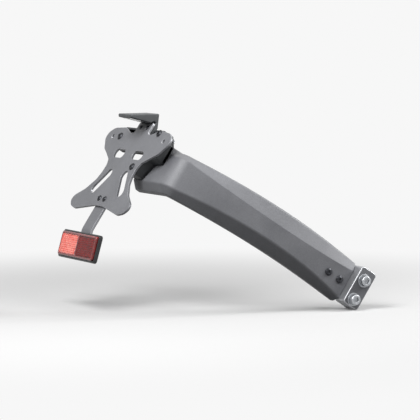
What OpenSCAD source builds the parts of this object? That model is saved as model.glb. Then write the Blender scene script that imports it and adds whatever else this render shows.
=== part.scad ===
// Side-mounted tail tidy for a motorcycle: an arm from the swingarm end that carries the
// number-plate carrier, its lamp and a rear reflector behind the rear tyre.
// Millimetres. Origin: midway between the two swingarm bolts, on the face that meets the
// swingarm. +X points to the vehicle's right, -Y to the rear and +Z up.

/* [Layout] */
// Rise of the arm towards the rear, and lean of the carrier, in degrees
rake = 34; // [24:1:44]
// From the mount face sideways to the vehicle's centre line
side_reach = 138; // [133:1:145]
// Along the raked arm from the bolts to the carrier's rear face
rear_reach = 278; // [250:1:320]
// Carrier centre below the line of the bolts, square to the arm
carrier_drop = 14; // [10:1:18]

/* [Arm] */
// Wall of the arm shell
arm_wall = 3; // [2:0.5:3.5]
// Upper edge above the bolt line at the front
arm_top_front = 29; // [27:0.5:33]
// Upper edge at mid length
arm_top_mid = 32; // [28:0.5:36]
// Upper edge at the rear bend
arm_top_rear = 27; // [26:0.5:32]
// Crease between the upper facet and the side at the front
arm_crease_front = 18; // [14:0.5:20]
// The same crease at mid length
arm_crease_mid = 12; // [8:0.5:18]
// The same crease at the rear bend
arm_crease_rear = 19; // [14:0.5:19.5]
// Lower edge of the side face below the bolt line at the front
arm_side_front = 19; // [17:0.5:21]
// Lower edge of the side face at mid length
arm_side_mid = 10; // [8:0.5:14]
// Lower edge of the side face at the rear bend
arm_side_rear = 18; // [15:0.5:20]
// Underside below the bolt line at the front
arm_low_front = 24; // [23:0.5:28]
// Underside at mid length
arm_low_mid = 22; // [20:0.5:28]
// Underside at the rear bend
arm_low_rear = 27; // [25:0.5:32]
// Inward lean of the upper facet
arm_lean_top = 6; // [4:0.5:7]
// Inward reach of the lower facet at mid length
arm_lean_low = 16; // [12:0.5:18]
// Inward reach of the lower facet at both ends
arm_lean_low_end = 9; // [7:0.5:10]
// Width of the return lip along the upper edge
arm_lip_top = 11; // [8:0.5:12]
// Width of the return lip along the lower edge
arm_lip_low = 7; // [5:0.5:8]
// Straight stretch of the arm behind the mount block
arm_straight = 44; // [42:1:60]
// Outer radius of the creases
arm_crease_r = 4; // [3.5:0.25:4.5]
// Angle by which the side has turned inward where the bend starts
arm_turn = 25; // [18:1:27]
// Outer radius of the bend behind the tyre
arm_bend_r = 22; // [21:0.5:24]
// Upper edge of the end flange at its free end
flange_top_end = 42; // [40:0.5:43]
// Distance of the flange's free end from the centre line
flange_end = 12; // [9:0.5:13]

/* [Swingarm mount] */
// Spacing of the two swingarm bolts
mount_pitch = 26; // [22:0.5:28]
// Clearance bore for the swingarm bolts
mount_bore = 8.6; // [8.4:0.1:9]
// Thickness of the mount block beside the arm
block_t = 16; // [10:0.5:20]
// Length of the mount block along the arm
block_l = 23; // [21:0.5:30]
// Height of the mount block across the arm
block_h = 50; // [48:0.5:56]
// Mount block's edge behind the bolts
block_edge = 10.5; // [10:0.5:12]
// Height of the block's middle above the bolts' middle
block_rise = 3; // [1:0.5:4]
// Corner radius of the mount block
block_corner_r = 4; // [2:0.5:6]
// Thickness of the block's tongue inside the arm
tongue_t = 5; // [4:0.5:6]
// Height of the tongue
tongue_h = 24; // [18:0.5:24]

/* [Carrier] */
// Thickness of the carrier plate
carrier_t = 3; // [2:0.5:4]
// Half width over the wings
wing_half = 85; // [80:1:95]
// Height of the wing tips above the centre
wing_tip = 45; // [43:0.5:47]
// Half width over the feet
foot_half = 79; // [72:1:88]
// Depth of the feet below the centre
foot_drop = 61; // [59:0.5:64]
// Half width of the waist
waist_half = 40; // [38:0.5:44]
// Half width of the lamp neck
neck_half = 18; // [17:0.5:20]
// Height of the lamp neck above the centre
neck_top = 67; // [66:0.5:70]
// Rounding of the carrier's corners
carrier_corner_r = 6; // [4:0.5:7]
// Width of the two upper slots
upper_slot_w = 12; // [9:0.5:13]
// Length of the two upper slots
upper_slot_l = 26; // [20:0.5:28]
// Width of the two slanted slots
lower_slot_w = 13; // [8:0.5:14]
// Diameter of the number-plate holes
plate_hole_d = 6; // [5:0.1:7]
// Spacing of the number-plate holes
plate_hole_pitch = 136; // [130:1:142]

/* [Rear bracket] */
// Depth between the arm flange and the carrier
bracket_d = 14; // [11:0.5:16]
// Thickness of the bracket's web
bracket_web = 4; // [3:0.5:5]
// Thickness of the bracket's rim
bracket_rim = 3; // [2:0.5:3.5]
// Outer diameter of the screw bosses
bracket_boss_d = 11; // [10:0.5:12]

/* [Plate lamp] */
// Width of the lamp
lamp_w = 34; // [32:1:36]
// Reach of the hood to the rear of its root
lamp_l = 39; // [36:1:44]
// Height of the hood's flat top above the carrier's centre, measured upright
lamp_top = 65; // [64:0.5:68]
// Depth of the hood at its tip
lamp_tip_h = 4; // [3:0.5:5]
// Depth of the hood where the lens starts
lamp_root_h = 11; // [9:0.5:11.5]
// Thickness of the lamp's foot behind the neck
lamp_foot_t = 6; // [5.5:0.5:8]
// Thickness of the lens
lens_t = 2; // [1.5:0.25:2.5]
// Thickness of the lamp's circuit board
board_t = 1.6; // [1:0.1:2]

/* [Reflector] */
// Width of the stem
stem_w = 26; // [22:1:30]
// Thickness of the stem
stem_t = 3; // [2:0.5:4]
// Fold line of the stem below the carrier's centre
stem_fold = 84; // [80:1:92]
// Lean of the reflector from upright, in degrees
reflector_lean = 16; // [8:1:24]
// Width of the reflector
reflector_w = 100; // [90:1:110]
// Height of the reflector
reflector_h = 34; // [30:1:40]
// Depth of the reflector's tray
tray_d = 5; // [4.5:0.5:6]
// Width of the tray's rim
tray_rim = 2; // [1.5:0.25:3]
// Height of the reflector lens above the tray's rim
reflector_crown = 2.5; // [1:0.5:4]
// Corner radius of the reflector
reflector_corner_r = 4; // [3:0.5:6]

/* [Fasteners] */
// Thread diameter of the swingarm bolts
bolt_m = 8; // [8:0.1:8.2]
// Grip of the swingarm bolts beyond the mount face
bolt_grip = 16; // [12:1:25]
// Thread diameter of the bolts between arm and bracket
bracket_bolt_m = 6; // [5:0.5:6.5]
// Thread diameter of the carrier screws
screw_m = 5; // [4:0.5:5.5]
// Thread diameter of the lamp screws
lamp_screw_m = 3; // [2.5:0.5:3.5]
// Clearance all round a thread in its hole
thread_gap = 0.3; // [0.1:0.05:0.5]

/* [Hidden] */

$fn = 48;
small_fn = 28;
eps = 0.05;

graphite = "#75787c";
graphite_dark = "#5c5e62";
black_metal = "#15181a";
black_plastic = "#3a3b3d";
bright_steel = "#c9ccd0";
dark_steel = "#3c3e41";
clear_plastic = "#dfe6ea";
board_white = "#e6e4da";
rubber = "#1c1c1d";
lens_red = "#8c1410";

// Places in the raked frame: x right, y square to the arm, z along the arm to the rear
carrier_x = -side_reach - tongue_t;
carrier_y = -carrier_drop;
flange_z = rear_reach - carrier_t - bracket_d;
straight_end_z = block_edge + arm_straight;
bend_start_z = flange_z - arm_bend_r * (1 - sin(arm_turn));
run = bend_start_z - straight_end_z;
inset = run * tan(arm_turn) / 2;
bend_start_x = arm_wall - inset;
bend_centre_x = bend_start_x - arm_bend_r * cos(arm_turn);
flange_end_x = carrier_x + flange_end;
arm_screw_places = [block_edge + 12, block_edge + 30];

// Fixing places on the carrier, from its centre
flange_bolt_places = [[56, 32], [24, 38.7]];
carrier_screw_left = [-48, 43];
carrier_screw_right = [47, 52];
carrier_screw_leg = [28, 4];
stem_screw_places = [[-7, -43], [7, -43]];
lamp_screw_places = [[-9, 58], [9, 58]];

// Turns children from the raked frame, where x is 0 on the inner face of the arm's side wall,
// into the part's own frame, where x is 0 on the face that meets the swingarm
module raked()
{
    translate([tongue_t, 0, 0])
        rotate([90 - rake, 0, 0])
            children();
}

// Children use the carrier's centre, on its rear face, with z to the rear
module on_carrier()
{
    raked()
        translate([carrier_x, carrier_y, rear_reach])
            children();
}

// Plain geometry helpers

function unit(v) = v / norm(v);

function mix(a, b, t) = a + (b - a) * t;

// Quadratic through a at t = 0, m at t = 0.5 and b at t = 1
function through(a, m, b, t) = a * (1 - t) * (1 - 2 * t) + 4 * m * t * (1 - t) + b * t * (2 * t - 1);

// Arc of n steps that rounds the corner at b between a and c
function corner_arc(a, b, c, r, n) =
    let (u = unit(a - b),
        w = unit(c - b),
        half = acos(u * w) / 2,
        centre = b + unit(u + w) * r / sin(half),
        start = b + u * r / tan(half) - centre,
        finish = b + w * r / tan(half) - centre,
        from = atan2(start.y, start.x),
        sweep = (atan2(finish.y, finish.x) - from + 540) % 360 - 180)
    [for (i = [0:n]) centre + r * [cos(from + sweep * i / n), sin(from + sweep * i / n)]];

// Open path with its inner corners rounded
function rounded(path, r, n) = [
    path[0],
    for (i = [1:len(path) - 2]) each corner_arc(path[i - 1], path[i], path[i + 1], r, n),
    path[len(path) - 1]];

// Right-hand normal of the segment that starts at point i
function side_of(path, i) = let (d = unit(path[i + 1] - path[i])) [d.y, -d.x];

// Open path moved to its right by t, with mitred corners
function moved(path, t) = let (last = len(path) - 1) [
    path[0] + t * side_of(path, 0),
    for (i = [1:last - 1])
        let (n1 = side_of(path, i - 1), n2 = side_of(path, i))
        path[i] + t * (n1 + n2) / (1 + n1 * n2),
    path[last] + t * side_of(path, last - 1)];

function reversed(list) = [for (i = [len(list) - 1:-1:0]) list[i]];

// Solid through rings of equal length, closed at both ends
module skin(rings)
{
    n = len(rings[0]);
    last = len(rings) - 1;
    walls = [for (k = [0:last - 1], i = [0:n - 1])
        let (j = (i + 1) % n)
        each [[k * n + i, (k + 1) * n + i, (k + 1) * n + j],
            [k * n + i, (k + 1) * n + j, k * n + j]]];
    caps = [[for (i = [0:n - 1]) i], [for (i = [n - 1:-1:0]) last * n + i]];
    polyhedron(points = [for (ring = rings) each ring], faces = concat(walls, caps), convexity = 10);
}

module rounded_rect(w, h, r)
{
    square([w - 2 * r, h], center = true);
    square([w, h - 2 * r], center = true);
    for (x = [-1, 1], y = [-1, 1])
        translate([x * (w / 2 - r), y * (h / 2 - r)])
            circle(r);
}

module slot_shape(a, b, w)
{
    d = unit(b - a);
    side = [-d.y, d.x] * w / 2;
    polygon([a + side, a - side, b - side, b + side]);
    for (p = [a, b])
        translate(p)
            circle(d = w);
}

// Rounds the outer corners by r and the inner ones by half of it
module softened(r)
{
    offset(r = -r / 2, $fn = small_fn)
        offset(delta = r / 2)
            offset(r = r, $fn = small_fn)
                offset(delta = -r)
                    children();
}

// Fasteners, each with its seat at z = 0 and its head above

// Plain shank below the head, then the thread on the bolt's free end
module socket_head_bolt(m, shank_l, thread_l)
{
    head_d = 1.5 * m + 1;
    head_h = 0.8 * m;
    shank_d = 0.9 * m;
    socket = 0.75 * m;
    difference() {
        union() {
            cylinder(d = head_d, h = head_h - 0.1 * m);
            translate([0, 0, head_h - 0.1 * m])
                cylinder(d1 = head_d, d2 = head_d - 0.2 * m, h = 0.1 * m);
            translate([0, 0, -shank_l - eps])
                cylinder(d = shank_d, h = shank_l + 2 * eps);
            translate([0, 0, -shank_l - thread_l])
                cylinder(d = m, h = thread_l);
        }
        translate([0, 0, head_h / 2])
            cylinder(d = socket / cos(30), h = head_h, $fn = 6);
    }
}

// Domed head turned from its outline, with a hexagon socket
module button_screw(m, length)
{
    head_r = 0.95 * m;
    head_h = 0.55 * m;
    edge_h = 0.12 * m;
    rise = head_h - edge_h;
    dome_r = (head_r * head_r + rise * rise) / (2 * rise);
    flat_r = 0.45 * m;
    dome_steps = 4;
    difference() {
        rotate_extrude()
            polygon([
                [0, -length], [m / 2, -length], [m / 2, 0], [head_r, 0],
                for (i = [0:dome_steps])
                    let (x = mix(head_r, flat_r, i / dome_steps))
                    [x, head_h - dome_r + sqrt(dome_r * dome_r - x * x)],
                [0, head_h - dome_r + sqrt(dome_r * dome_r - flat_r * flat_r)]]);
        translate([0, 0, head_h * 0.4])
            cylinder(d = 0.6 * m / cos(30), h = head_h, $fn = 6);
    }
}

// Locking nut on a thread: seat at z = 0, body below, with the bore for the thread
module lock_nut(m)
{
    body_h = 0.8 * m;
    collar_h = 0.2 * m;
    difference() {
        union() {
            translate([0, 0, -body_h])
                cylinder(d = 1.65 * m / cos(30), h = body_h, $fn = 6);
            translate([0, 0, -body_h - collar_h])
                cylinder(d1 = 1.3 * m, d2 = 1.6 * m, h = collar_h + eps);
        }
        translate([0, 0, -body_h - collar_h - 1])
            cylinder(d = m, h = body_h + collar_h + 2);
    }
}

module washer(m, t)
{
    difference() {
        cylinder(d = 2 * m, h = t);
        translate([0, 0, -1])
            cylinder(d = m + 2 * thread_gap, h = t + 2);
    }
}

// Arm

// Outer path of the arm's section: x outward, y up, from the upper lip to the lower one
function arm_path(top, crease, side, low, lean_low) = [
    [-arm_lean_top - arm_lip_top, top],
    [-arm_lean_top, top],
    [0, crease],
    [0, -side],
    [-lean_low, -low],
    [-lean_low - arm_lip_low, -low]];

arc_steps = 2;

function arm_section(path) = concat(
    rounded(path, arm_crease_r, arc_steps),
    reversed(rounded(moved(path, arm_wall), arm_crease_r - arm_wall, arc_steps)));

// Section at share t of the straight run, then at share e of the end flange
function section_at(t, e = 0) = arm_section(arm_path(
    mix(through(arm_top_front, arm_top_mid, arm_top_rear, t), flange_top_end, e),
    mix(through(arm_crease_front, arm_crease_mid, arm_crease_rear, t), flange_top_end - 6, e),
    through(arm_side_front, arm_side_mid, arm_side_rear, t),
    through(arm_low_front, arm_low_mid, arm_low_rear, t),
    through(arm_lean_low_end, arm_lean_low, arm_lean_low_end, t)));

// Stands a section on the path point [x, z], facing outward at angle a from +X
function stood(section, x, z, a) = [for (p = section) [x + p.x * cos(a), p.y, z + p.x * sin(a)]];

run_steps = 8;
bend_steps = 6;
straight_share = 0.2;

// Share of the way from the front to the bend at share t of the curved run
function arm_share(t) = mix(straight_share, 1, t);

arm_rings = [
    stood(section_at(0), arm_wall, block_edge, 0),
    for (i = [0:run_steps])
        let (t = i / run_steps)
        stood(section_at(arm_share(t)), arm_wall - inset * t * t, straight_end_z + run * t,
            atan(tan(arm_turn) * t)),
    for (i = [1:bend_steps])
        let (a = arm_turn + (90 - arm_turn) * i / bend_steps)
        stood(section_at(1), bend_centre_x + arm_bend_r * cos(a),
            flange_z - arm_bend_r + arm_bend_r * sin(a), a),
    stood(section_at(1, 1), flange_end_x, flange_z, 90)];

module arm_shell()
{
    color(graphite)
        raked()
            difference() {
                skin(arm_rings);
                for (z = arm_screw_places)
                    translate([-1, 0, z])
                        rotate([0, 90, 0])
                            cylinder(d = screw_m + 2 * thread_gap, h = arm_wall + 2);
                for (p = flange_bolt_places)
                    translate([carrier_x + p.x, carrier_y + p.y, flange_z - arm_wall - 1])
                        cylinder(d = bracket_bolt_m + 2 * thread_gap, h = arm_wall + 2);
                translate([carrier_x + carrier_screw_leg.x, carrier_y + carrier_screw_leg.y,
                    flange_z - arm_wall - 1])
                    cylinder(d = screw_m + 2 * thread_gap, h = arm_wall + 2);
            }
}

// Block on the swingarm, with a tongue that lies inside the arm's side wall
module mount_block()
{
    tongue_l = arm_straight - 2;
    color(graphite_dark)
        raked()
            difference() {
                union() {
                    translate([-tongue_t, block_rise, block_edge - block_l / 2])
                        rotate([0, 90, 0])
                            linear_extrude(tongue_t + block_t)
                                rounded_rect(block_l, block_h, block_corner_r);
                    translate([-tongue_t, -tongue_h / 2, 0])
                        cube([tongue_t, tongue_h, block_edge + tongue_l]);
                }
                for (y = [-1, 1])
                    translate([-tongue_t - 1, y * mount_pitch / 2, 0])
                        rotate([0, 90, 0])
                            cylinder(d = mount_bore, h = tongue_t + block_t + 2);
                for (z = arm_screw_places)
                    translate([-tongue_t - 1, 0, z])
                        rotate([0, 90, 0])
                            cylinder(d = screw_m, h = tongue_t + 2);
            }
}

module arm_screws()
{
    color(dark_steel)
        raked()
            for (z = arm_screw_places)
                translate([arm_wall, 0, z])
                    rotate([0, 90, 0])
                        button_screw(screw_m, arm_wall + tongue_t - 1);
}

module at_swingarm_bolts(x)
{
    raked()
        for (y = [-1, 1])
            translate([x, y * mount_pitch / 2, 0])
                rotate([0, 90, 0])
                    children();
}

washer_t = 1.6;

module swingarm_bolts()
{
    color(bright_steel)
        at_swingarm_bolts(block_t + washer_t)
            socket_head_bolt(bolt_m, washer_t + block_t + tongue_t, bolt_grip);
}

module swingarm_washers()
{
    color(bright_steel)
        at_swingarm_bolts(block_t)
            washer(bolt_m, washer_t);
}

// Rear bracket between the arm's flange and the carrier

module bracket_outline()
{
    softened(3)
        polygon([[-60, 34], [-60, 50], [-52, 58], [-24, 58], [-19, foot_low - 1.5],
            [19, foot_low - 1.5], [24, 58], [50, 58], [67, 44], [67, 19], [48, 17],
            [37, -3], [20, -5], [19, 5], [33, 15], [33, 29.5], [-56, 29.5]]);
}

module rear_bracket()
{
    color(black_metal)
        on_carrier()
            translate([0, 0, -carrier_t - bracket_d])
                difference() {
                    union() {
                        linear_extrude(bracket_web)
                            bracket_outline();
                        linear_extrude(bracket_d)
                            difference() {
                                bracket_outline();
                                offset(delta = -bracket_rim)
                                    bracket_outline();
                            }
                        for (p = [carrier_screw_left, carrier_screw_right, carrier_screw_leg])
                            translate(p)
                                cylinder(d = bracket_boss_d, h = bracket_d);
                    }
                    for (p = [carrier_screw_left, carrier_screw_right, carrier_screw_leg])
                        translate([p.x, p.y, -1])
                            cylinder(d = screw_m + 2 * thread_gap, h = bracket_d + 2);
                    for (p = flange_bolt_places)
                        translate([p.x, p.y, -1])
                            cylinder(d = bracket_bolt_m + 2 * thread_gap, h = bracket_web + 2);
                }
}

bracket_washer_t = 1.2;

module at_flange_bolts(z)
{
    on_carrier()
        for (p = flange_bolt_places)
            translate([p.x, p.y, z])
                children();
}

module bracket_bolts()
{
    seat = -carrier_t - bracket_d + bracket_web + bracket_washer_t;
    color(dark_steel)
        at_flange_bolts(seat)
            button_screw(bracket_bolt_m, bracket_washer_t + bracket_web + arm_wall + bracket_bolt_m + 1);
}

module bracket_washers()
{
    color(bright_steel)
        at_flange_bolts(-carrier_t - bracket_d + bracket_web)
            washer(bracket_bolt_m, bracket_washer_t);
}

module bracket_nuts()
{
    color(bright_steel)
        at_flange_bolts(-carrier_t - bracket_d - arm_wall)
            lock_nut(bracket_bolt_m);
}

// Carrier

function mirrored_u(list) = [for (p = reversed(list)) [-p.x, p.y]];

// Right half of the carrier's outline, from the bottom up
carrier_half = [
    [12, -53], [foot_half - 20, -foot_drop], [foot_half - 7, 3 - foot_drop],
    [foot_half, 10 - foot_drop], [foot_half - 2, 17 - foot_drop], [58, -33], [45, -19],
    [waist_half + 1, -9], [waist_half, 2], [waist_half + 4, 10], [59, 18],
    [wing_half - 13, wing_tip - 21], [wing_half - 7, wing_tip - 14], [wing_half, wing_tip - 7],
    [wing_half - 1, wing_tip + 2], [wing_half - 12, wing_tip + 9], [45, 56],
    [neck_half + 9, 49], [neck_half, 50], [neck_half, neck_top]];

upper_slot_at = [24.5, 20];
lower_slot_from = [21, -9];
lower_slot_to = [36, -31];

module carrier_plate()
{
    half_slot = [(upper_slot_l - upper_slot_w) / 2, 0];
    color(graphite)
        on_carrier()
            translate([0, 0, -carrier_t])
                difference() {
                    linear_extrude(carrier_t)
                        softened(carrier_corner_r)
                            polygon(concat(carrier_half, mirrored_u(carrier_half)));
                    translate([0, 0, -1])
                        linear_extrude(carrier_t + 2)
                            for (side = [0, 1])
                                mirror([side, 0]) {
                                    slot_shape(upper_slot_at - half_slot, upper_slot_at + half_slot,
                                        upper_slot_w);
                                    slot_shape(lower_slot_from, lower_slot_to, lower_slot_w);
                                }
                    for (p = [carrier_screw_left, carrier_screw_right, carrier_screw_leg])
                        translate([p.x, p.y, -1])
                            cylinder(d = screw_m + 2 * thread_gap, h = carrier_t + 2);
                    for (x = [-1, 1])
                        translate([x * plate_hole_pitch / 2, wing_tip - 3, -1])
                            cylinder(d = plate_hole_d, h = carrier_t + 2);
                    for (p = stem_screw_places)
                        translate([p.x, p.y, -1])
                            cylinder(d = stem_screw_m + 2 * thread_gap, h = carrier_t + 2);
                    for (p = lamp_screw_places)
                        translate([p.x, p.y, -1])
                            cylinder(d = lamp_screw_m + 2 * thread_gap, h = carrier_t + 2);
                }
}

module carrier_screws()
{
    short = carrier_t + bracket_d + screw_m + 1;
    color(dark_steel)
        on_carrier() {
            for (p = [carrier_screw_left, carrier_screw_right])
                translate(p)
                    button_screw(screw_m, short);
            translate(carrier_screw_leg)
                button_screw(screw_m, short + arm_wall);
        }
}

module carrier_nuts()
{
    color(bright_steel)
        on_carrier() {
            for (p = [carrier_screw_left, carrier_screw_right])
                translate([p.x, p.y, -carrier_t - bracket_d])
                    lock_nut(screw_m);
            translate([carrier_screw_leg.x, carrier_screw_leg.y, -carrier_t - bracket_d - arm_wall])
                lock_nut(screw_m);
        }
}

// Plate lamp: drawn as a side view with x to the front and y up, from the carrier's centre

// Point of that side view at height v up the carrier and depth w to its rear
function lean_point(v, w) = [v * sin(rake) - w * cos(rake), v * cos(rake) + w * sin(rake)];

// Extrudes a side view across the lamp's middle
module across(w)
{
    raked()
        translate([carrier_x, carrier_y, rear_reach])
            rotate([rake - 90, 0, 0])
                translate([-w / 2, 0, 0])
                    rotate([90, 0, 90])
                        linear_extrude(w)
                            children();
}

foot_low = 51;
foot_front = -carrier_t - lamp_foot_t;
hood_front = [lean_point(neck_top, -carrier_t).x + lamp_foot_t - 1, lamp_top];
hood_tip = [hood_front.x - lamp_l, lamp_top];
hood_root = [lean_point(neck_top, 0).x - 4, lamp_top - lamp_root_h];
hood_slope = atan2(hood_root.y - hood_tip.y + lamp_tip_h, hood_root.x - hood_tip.x);

module lamp_profile()
{
    polygon([
        hood_front,
        hood_tip + [1.5, 0],
        hood_tip - [0, 1.5],
        hood_tip - [0, lamp_tip_h],
        hood_root,
        lean_point(neck_top + 0.2, 0),
        lean_point(neck_top + 0.2, -carrier_t),
        lean_point(foot_low, -carrier_t),
        lean_point(foot_low, foot_front),
        lean_point(neck_top - 4, foot_front)]);
}

// Children lie in the hood's sloped underside: x to the rear tip, z into the hood
module under_hood()
{
    raked()
        translate([carrier_x, carrier_y, rear_reach])
            rotate([rake - 90, 0, 0])
                translate([0, (hood_root.x + hood_tip.x) / 2, (hood_root.y + hood_tip.y - lamp_tip_h) / 2])
                    rotate([hood_slope, 0, 0])
                        children();
}

lens_w = lamp_w - 8;
lens_l = lamp_l - 18;
chamber_w = lens_w - 4;
chamber_l = lens_l - 6;
chamber_h = 2.4;

module lamp_housing()
{
    color(black_plastic)
        difference() {
            across(lamp_w)
                lamp_profile();
            under_hood() {
                translate([-lens_w / 2, -lens_l / 2, -1])
                    cube([lens_w, lens_l, 1 + lens_t]);
                translate([-chamber_w / 2, -chamber_l / 2, 0])
                    cube([chamber_w, chamber_l, lens_t + chamber_h]);
            }
            on_carrier()
                for (p = lamp_screw_places)
                    translate([p.x, p.y, -carrier_t - lamp_foot_t - 1])
                        cylinder(d = lamp_screw_m, h = lamp_foot_t + 2);
            on_carrier()
                translate([0, grommet_v, -carrier_t - lamp_foot_t - 1])
                    cylinder(d = grommet_d, h = grommet_seat + 1);
        }
}

module lamp_lens()
{
    color(clear_plastic)
        under_hood()
            translate([-lens_w / 2, -lens_l / 2, 0])
                cube([lens_w, lens_l, lens_t]);
}

led_count = 3;

module lamp_board()
{
    pitch = chamber_w / led_count;
    color(board_white)
        under_hood() {
            translate([-chamber_w / 2, -chamber_l / 2, lens_t + chamber_h - board_t])
                cube([chamber_w, chamber_l, board_t]);
            for (i = [0:led_count - 1])
                translate([(i - (led_count - 1) / 2) * pitch - 1.75, -1.75,
                    lens_t + chamber_h - board_t - 0.6])
                    cube([3.5, 3.5, 0.6 + eps]);
        }
}

module lamp_screws()
{
    color(dark_steel)
        on_carrier()
            for (p = lamp_screw_places)
                translate(p)
                    button_screw(lamp_screw_m, carrier_t + lamp_foot_t - 1);
}

// Cable outlet on the front of the lamp's foot
grommet_v = 57;
grommet_d = 7;
grommet_seat = 2;
grommet_l = 9;

module lamp_grommet()
{
    color(rubber)
        on_carrier()
            translate([0, grommet_v, -carrier_t - lamp_foot_t + grommet_seat])
                rotate([180, 0, 0])
                    difference() {
                        union() {
                            cylinder(d = grommet_d, h = grommet_seat);
                            translate([0, 0, grommet_seat])
                                cylinder(d = grommet_d + 2, h = 1.5);
                            translate([0, 0, grommet_seat + 1.5])
                                cylinder(d1 = grommet_d, d2 = grommet_d - 2, h = grommet_l - 1.5);
                        }
                        translate([0, 0, grommet_seat + 1])
                            cylinder(d = 3, h = grommet_l);
                    }
}

// Reflector and its stem

stem_screw_m = 4;
stem_top = -34;
leg_l = reflector_h / 2 + 12;
reflector_mid = 21;

// Children hang on the stem's lower leg: y up the leg from the fold, z to the rear
module on_leg()
{
    on_carrier()
        translate([0, -stem_fold, -carrier_t - stem_t])
            rotate([rake - reflector_lean, 0, 0])
                children();
}

module reflector_stem()
{
    upper_l = stem_fold + stem_top;
    color(graphite)
        difference() {
            union() {
                on_carrier()
                    translate([-stem_w / 2, -stem_fold, -carrier_t - stem_t])
                        cube([stem_w, upper_l, stem_t]);
                on_leg()
                    translate([0, -leg_l / 2 + 1, 0])
                        linear_extrude(stem_t)
                            rounded_rect(stem_w, leg_l + 2, 3);
            }
            on_carrier()
                for (p = stem_screw_places)
                    translate([p.x, p.y, -carrier_t - stem_t - 1])
                        cylinder(d = stem_screw_m + 2 * thread_gap, h = stem_t + 2);
            on_leg()
                translate([0, -reflector_mid, -1])
                    cylinder(d = screw_m + 2 * thread_gap, h = stem_t + 2);
        }
}

module stem_screws()
{
    color(dark_steel)
        on_carrier()
            for (p = stem_screw_places)
                translate(p)
                    button_screw(stem_screw_m, carrier_t + stem_t + stem_screw_m + 1);
}

module stem_nuts()
{
    color(bright_steel)
        on_carrier()
            for (p = stem_screw_places)
                translate([p.x, p.y, -carrier_t - stem_t])
                    lock_nut(stem_screw_m);
}

floor_t = 2;

module reflector_tray()
{
    color(rubber)
        on_leg()
            translate([0, -reflector_mid, stem_t])
                difference() {
                    linear_extrude(tray_d)
                        rounded_rect(reflector_w, reflector_h, reflector_corner_r);
                    translate([0, 0, floor_t])
                        linear_extrude(tray_d)
                            rounded_rect(reflector_w - 2 * tray_rim, reflector_h - 2 * tray_rim,
                                reflector_corner_r - tray_rim / 2);
                    translate([0, 0, -1])
                        cylinder(d = screw_m + 2 * thread_gap, h = floor_t + 2);
                }
}

module reflector_lens()
{
    lens_full_w = reflector_w - 2 * tray_rim - 0.4;
    lens_full_h = reflector_h - 2 * tray_rim - 0.4;
    body_h = tray_d - floor_t + reflector_crown;
    stud_room = 6;
    color(lens_red)
        on_leg()
            translate([0, -reflector_mid, stem_t + floor_t])
                difference() {
                    linear_extrude(body_h)
                        rounded_rect(lens_full_w, lens_full_h, reflector_corner_r - tray_rim / 2);
                    translate([-0.6, -lens_full_h, body_h - 1])
                        cube([1.2, 2 * lens_full_h, 2]);
                    translate([0, 0, -1])
                        cylinder(d = stud_head_d + 0.6, h = 1 + stud_head_h + 0.3);
                }
}

stud_head_d = 10;
stud_head_h = 2;

module reflector_stud()
{
    color(bright_steel)
        on_leg()
            translate([0, -reflector_mid, 0]) {
                translate([0, 0, stem_t + floor_t])
                    cylinder(d = stud_head_d, h = stud_head_h);
                translate([0, 0, -screw_m - 2.2])
                    cylinder(d = screw_m, h = screw_m + 2.2 + stem_t + floor_t + eps);
            }
}

module reflector_washer()
{
    color(bright_steel)
        on_leg()
            translate([0, -reflector_mid, -1])
                washer(screw_m, 1);
}

module reflector_nut()
{
    color(bright_steel)
        on_leg()
            translate([0, -reflector_mid, -1])
                lock_nut(screw_m);
}

arm_shell();
mount_block();
arm_screws();
swingarm_bolts();
swingarm_washers();
rear_bracket();
bracket_bolts();
bracket_washers();
bracket_nuts();
carrier_plate();
carrier_screws();
carrier_nuts();
lamp_housing();
lamp_lens();
lamp_board();
lamp_screws();
lamp_grommet();
reflector_stem();
stem_screws();
stem_nuts();
reflector_tray();
reflector_lens();
reflector_stud();
reflector_washer();
reflector_nut();
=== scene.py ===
"""Looks of a side-mounted motorcycle tail tidy, built around its packed CAD frame.

Pieces are drawn in millimetres, mostly in the arm's raked frame: x to the right with 0 on the
inner face of the arm's side wall, y square to the arm, z along the arm to the rear.
"""
import math

import bmesh
import bpy
from mathutils import Matrix, Vector


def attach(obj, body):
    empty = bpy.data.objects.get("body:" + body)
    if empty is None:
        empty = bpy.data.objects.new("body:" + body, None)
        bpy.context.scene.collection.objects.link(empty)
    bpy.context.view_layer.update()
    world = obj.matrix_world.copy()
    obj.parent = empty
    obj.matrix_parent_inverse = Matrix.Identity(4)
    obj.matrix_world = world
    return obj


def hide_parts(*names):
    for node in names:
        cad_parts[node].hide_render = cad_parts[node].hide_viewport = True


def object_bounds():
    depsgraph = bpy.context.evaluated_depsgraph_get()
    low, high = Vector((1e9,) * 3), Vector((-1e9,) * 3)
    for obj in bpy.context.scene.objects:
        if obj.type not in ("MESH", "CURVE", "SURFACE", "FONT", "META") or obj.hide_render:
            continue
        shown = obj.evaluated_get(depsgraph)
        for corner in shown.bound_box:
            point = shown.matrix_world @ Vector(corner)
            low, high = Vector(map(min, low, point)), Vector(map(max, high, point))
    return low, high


bl_info = {
    "name": "Tail tidy builder",
    "version": (1, 0, 0),
    "blender": (4, 5, 0),
    "location": "View3D > Sidebar > Tail tidy",
    "description": "Builds a side-mounted motorcycle tail tidy around its CAD frame",
    "category": "Add Mesh",
}

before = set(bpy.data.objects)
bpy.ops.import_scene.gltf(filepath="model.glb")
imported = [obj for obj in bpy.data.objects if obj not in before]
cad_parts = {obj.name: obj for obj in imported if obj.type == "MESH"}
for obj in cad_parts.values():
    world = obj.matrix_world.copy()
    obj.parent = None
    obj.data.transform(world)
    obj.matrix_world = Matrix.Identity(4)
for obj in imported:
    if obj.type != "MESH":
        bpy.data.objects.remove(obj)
CAD_LOW, CAD_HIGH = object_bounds()

MM = 0.001
RAKE = math.radians(34)
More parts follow.
